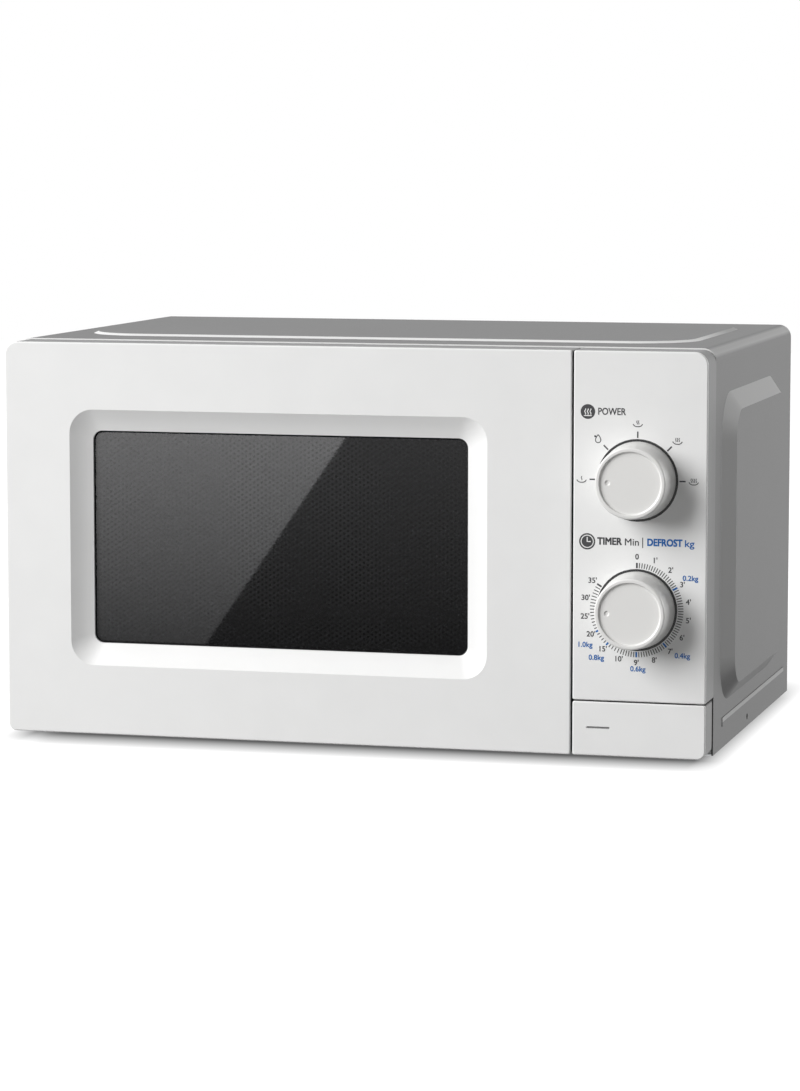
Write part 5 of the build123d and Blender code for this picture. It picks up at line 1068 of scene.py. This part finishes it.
class OVEN_OT_front(OvenStep, bpy.types.Operator):
    """Gives the door frame, panel, button and knobs their moulded whites, and the button its dash"""
    bl_idname = "oven.front"
    bl_label = "Moulded Front"

    def execute(self, context):
        white = two_tone("front_white", finish().front_white, finish().wall_grey)
        coat(white, "door_frame", "control_panel", "door_button")
        coat(moulded("knob_white", finish().knob_white, (0.30, 0.38)), "power_knob", "timer_knob")
        # Dark grey for the painted shade in the button's groove
        groove = ink("groove_shade_grey", (0.16, 0.16, 0.16))
        add_piece("groove_painted_shade", groove_painted_shade, groove, "button")
        return {"FINISHED"}


class OVEN_OT_cabinet(OvenStep, bpy.types.Operator):
    """Paints the cabinet and finishes the base, back, feet, bushing and screws"""
    bl_idname = "oven.cabinet"
    bl_label = "Cabinet"

    def execute(self, context):
        # Cabinet paint with painted highlights in the front white and painted shade
        coat(folded_paint_with_painted_light("cabinet_paint_with_painted_light", finish().cabinet_grey, finish().front_white), "cabinet")
        coat(spangled_zinc("zinc_sheet", ZINC), "base_plate")
        coat(spangled_zinc("back_zinc", ZINC, finish().cavity_grey), "back_plate")
        coat(moulded("foot_rubber", (0.03, 0.03, 0.03), (0.7, 0.85)), "feet")
        coat(moulded("bushing_black", (0.02, 0.02, 0.02), (0.45, 0.6)), "cord_bushing")
        coat(metal("screw_steel", (0.55, 0.55, 0.54), (0.28, 0.40)), "cabinet_screws")
        return {"FINISHED"}


class OVEN_OT_cavity(OvenStep, bpy.types.Operator):
    """Paints the cooking cavity and its front plate, and gives the waveguide cover its mica"""
    bl_idname = "oven.cavity"
    bl_label = "Cooking Cavity"

    def execute(self, context):
        paint = speckled_paint("cavity_paint", finish().cavity_grey)
        coat(paint, "cavity_wrap", "cavity_floor", "front_plate")
        coat(speckled_paint("mica", (0.42, 0.36, 0.26)), "waveguide_cover")
        return {"FINISHED"}


class OVEN_OT_window(OvenStep, bpy.types.Operator):
    """Makes the tinted window, the perforated screen and the inside of the door"""
    bl_idname = "oven.window"
    bl_label = "Door Window"

    def execute(self, context):
        coat(glass("window_glass", finish().window_tint, (0.015, 0.03)), "door_glass")
        coat(glass("clear_film", (0.93, 0.93, 0.93), (0.05, 0.09), index=1.12), "door_film")
        enamel = painted("screen_enamel", finish().screen_black, (0.20, 0.21), gloss=0.8, peel=0.0000002)
        coat(enamel, "door_choke")
        coat(moulded("cover_black", (0.022, 0.022, 0.023), (0.35, 0.5)), "door_inner_cover")
        screen = add_piece("screen_mesh", honeycomb, enamel, "door")
        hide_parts("door_screen")
        # Near-black for the painted shadow along the window's edge
        edge_shadow = painted("edge_shadow_black", (0.010, 0.010, 0.011), (0.6, 0.75), gloss=0.0)
        add_piece("window_edge_painted_shadow", window_edge_painted_shadow, edge_shadow, "door")
        return {"FINISHED"}


class OVEN_OT_turntable(OvenStep, bpy.types.Operator):
    """Finishes the glass turntable, its rollers and its drive"""
    bl_idname = "oven.turntable"
    bl_label = "Turntable"

    def execute(self, context):
        coat(glass("turntable_glass", (0.90, 0.95, 0.93), (0.0, 0.02)), "glass_turntable")
        nylon = moulded("nylon", (0.72, 0.71, 0.66), (0.4, 0.52))
        coat(nylon, "roller_ring", "turntable_coupler", "roller_1", "roller_2", "roller_3")
        coat(metal("drive_steel", (0.62, 0.62, 0.62), (0.2, 0.32)), "drive_shaft")
        coat(metal("motor_can", (0.58, 0.58, 0.56), (0.3, 0.42), (1.0, 1.0, 0.1)), "turntable_motor")
        return {"FINISHED"}


class OVEN_OT_latch(OvenStep, bpy.types.Operator):
    """Finishes the hinges, latch, lever, switches and springs"""
    bl_idname = "oven.latch"
    bl_label = "Latch And Hinges"

    def execute(self, context):
        nylon = moulded("latch_nylon", (0.70, 0.70, 0.68), (0.38, 0.5))
        coat(nylon, "latch_hooks", "latch_board", "release_lever", "hinge_bushes")
        steel = metal("hinge_steel", (0.58, 0.58, 0.57), (0.25, 0.4), (1.0, 0.05, 1.0))
        coat(steel, "upper_hinge", "lower_hinge")
        wire = metal("spring_wire", (0.6, 0.6, 0.6), (0.18, 0.3))
        add_spring("latch_coil", "latch_spring", "door", wire)
        add_spring("button_coil", "button_spring", "oven", wire)
        coat(moulded("switch_black", (0.025, 0.025, 0.027), (0.4, 0.55)), "upper_switch", "lower_switch")
        return {"FINISHED"}


class OVEN_OT_works(OvenStep, bpy.types.Operator):
    """Finishes the controls, microwave source, supply and cooling inside the cabinet"""
    bl_idname = "oven.works"
    bl_label = "Works"

    def execute(self, context):
        zinc = bpy.data.materials["zinc_sheet"]
        coat(zinc, "waveguide", "magnetron_yoke", "magnetron_filter_box", "capacitor_clamp")
        aluminium = metal("plain_aluminium", (0.76, 0.77, 0.78), (0.3, 0.42), (0.1, 1.0, 1.0))
        coat(aluminium, "magnetron_fins", "capacitor", "thermal_cutout")
        coat(moulded("ceramic", (0.62, 0.50, 0.45), (0.5, 0.65)), "magnetron_antenna")
        coat(banded("laminations", (0.20, 0.19, 0.18), 320.0, "X"), "transformer_core", "fan_motor")
        coat(banded("copper_wire", (0.42, 0.17, 0.07), 200.0, "Z"), "transformer_windings")
        coat(bpy.data.materials["switch_black"], "hv_diode")
        grey = moulded("unit_grey", (0.22, 0.22, 0.23), (0.45, 0.6))
        coat(grey, "timer_unit", "power_selector", "lamp_holder")
        coat(metal("shaft_steel", (0.62, 0.62, 0.62), (0.2, 0.3)), "power_shaft", "timer_shaft")
        coat(moulded("duct_grey", (0.48, 0.48, 0.46), (0.45, 0.58)), "fan_duct", "fan_blade")
        coat(glass("bulb_glass", (0.95, 0.95, 0.93), (0.0, 0.03)), "lamp_bulb")
        coat(speckled_paint("board_green", (0.05, 0.16, 0.07)), "filter_board")
        return {"FINISHED"}


class OVEN_OT_power_dial(OvenStep, bpy.types.Operator):
    """Prints the power dial"""
    bl_idname = "oven.power_dial"
    bl_label = "Power Dial"

    def execute(self, context):
        add_piece("power_scale", power_scale, ink("dark_ink", finish().dark_ink), "oven")
        # Near-black for the painted shadow ring round the knob
        knob_shadow = ink("knob_shadow_black", (0.012, 0.012, 0.013))
        add_piece("power_knob_shadow", lambda shape: knob_painted_shadow_ring(shape, POWER_KNOB), knob_shadow, "oven")
        add_piece("power_steam", power_steam, ink("pale_ink", finish().front_white), "oven")
        return {"FINISHED"}


class OVEN_OT_timer_dial(OvenStep, bpy.types.Operator):
    """Prints the timer and defrost dial"""
    bl_idname = "oven.timer_dial"
    bl_label = "Timer Dial"

    def execute(self, context):
        add_piece("timer_scale", timer_scale, bpy.data.materials["dark_ink"], "oven")
        # Near-black for the painted shadow ring round the knob
        knob_shadow = bpy.data.materials["knob_shadow_black"]
        add_piece("timer_knob_shadow", lambda shape: knob_painted_shadow_ring(shape, TIMER_KNOB), knob_shadow, "oven")
        add_piece("timer_hands", timer_hands, bpy.data.materials["pale_ink"], "oven")
        add_piece("defrost_scale", defrost_scale, ink("blue_ink", finish().blue_ink), "oven")
        return {"FINISHED"}


class OVEN_OT_stage(OvenStep, bpy.types.Operator):
    """Sets the floor, backdrop, lamps, cards and camera"""
    bl_idname = "oven.stage"
    bl_label = "Studio"

    def execute(self, context):
        studio = context.scene.oven_studio
        context.scene.view_settings.view_transform = "Standard"
        floor()
        backdrop()
        lamp("key", KEY_PLACE, KEY_AIM, KEY_SIZE, studio.key_power)
        lamp("side", SIDE_PLACE, SIDE_AIM, SIDE_SIZE, studio.side_power)
        mirrored_card("glare_card", GLARE_LEFT, studio.glare)
        mirrored_card("shade_card", SHADE_RIGHT, studio.shade)
        photo_camera()
        return {"FINISHED"}


STEPS = (OVEN_OT_front, OVEN_OT_cabinet, OVEN_OT_cavity, OVEN_OT_window, OVEN_OT_turntable,
         OVEN_OT_latch, OVEN_OT_works, OVEN_OT_power_dial, OVEN_OT_timer_dial, OVEN_OT_stage)
GROUPS = {"oven_finish": OvenFinish, "oven_marks": OvenMarks,
          "oven_screen": OvenScreen, "oven_studio": OvenStudio}


# Sidebar and start
class OVEN_PT_sidebar(bpy.types.Panel):
    """Lists the oven's steps and the values that they use"""
    bl_idname = "OVEN_PT_sidebar"
    bl_label = "Microwave Oven"
    bl_space_type = "VIEW_3D"
    bl_region_type = "UI"
    bl_category = "Oven"

    def draw(self, context):
        for step in STEPS:
            self.layout.operator(step.bl_idname)
        for name, group in GROUPS.items():
            column = self.layout.column(heading=group.__doc__)
            for value in group.__annotations__:
                column.prop(getattr(context.scene, name), value)


def register():
    """Registers the value groups, the steps and the sidebar."""
    for name, group in GROUPS.items():
        bpy.utils.register_class(group)
        setattr(bpy.types.Scene, name, PointerProperty(type=group))
    for step in STEPS:
        bpy.utils.register_class(step)
    bpy.utils.register_class(OVEN_PT_sidebar)


def unregister():
    """Removes the sidebar, the steps and the value groups."""
    bpy.utils.unregister_class(OVEN_PT_sidebar)
    for step in reversed(STEPS):
        bpy.utils.unregister_class(step)
    for name, group in reversed(GROUPS.items()):
        delattr(bpy.types.Scene, name)
        bpy.utils.unregister_class(group)


def main():
    """Dresses the oven step by step and writes the two boxes."""
    register()
    bpy.ops.oven.front()
    bpy.ops.oven.cabinet()
    bpy.ops.oven.cavity()
    bpy.ops.oven.window()
    bpy.ops.oven.turntable()
    bpy.ops.oven.latch()
    bpy.ops.oven.works()
    bpy.ops.oven.power_dial()
    bpy.ops.oven.timer_dial()
    bpy.ops.oven.stage()


if __name__ == "__main__":
    main()
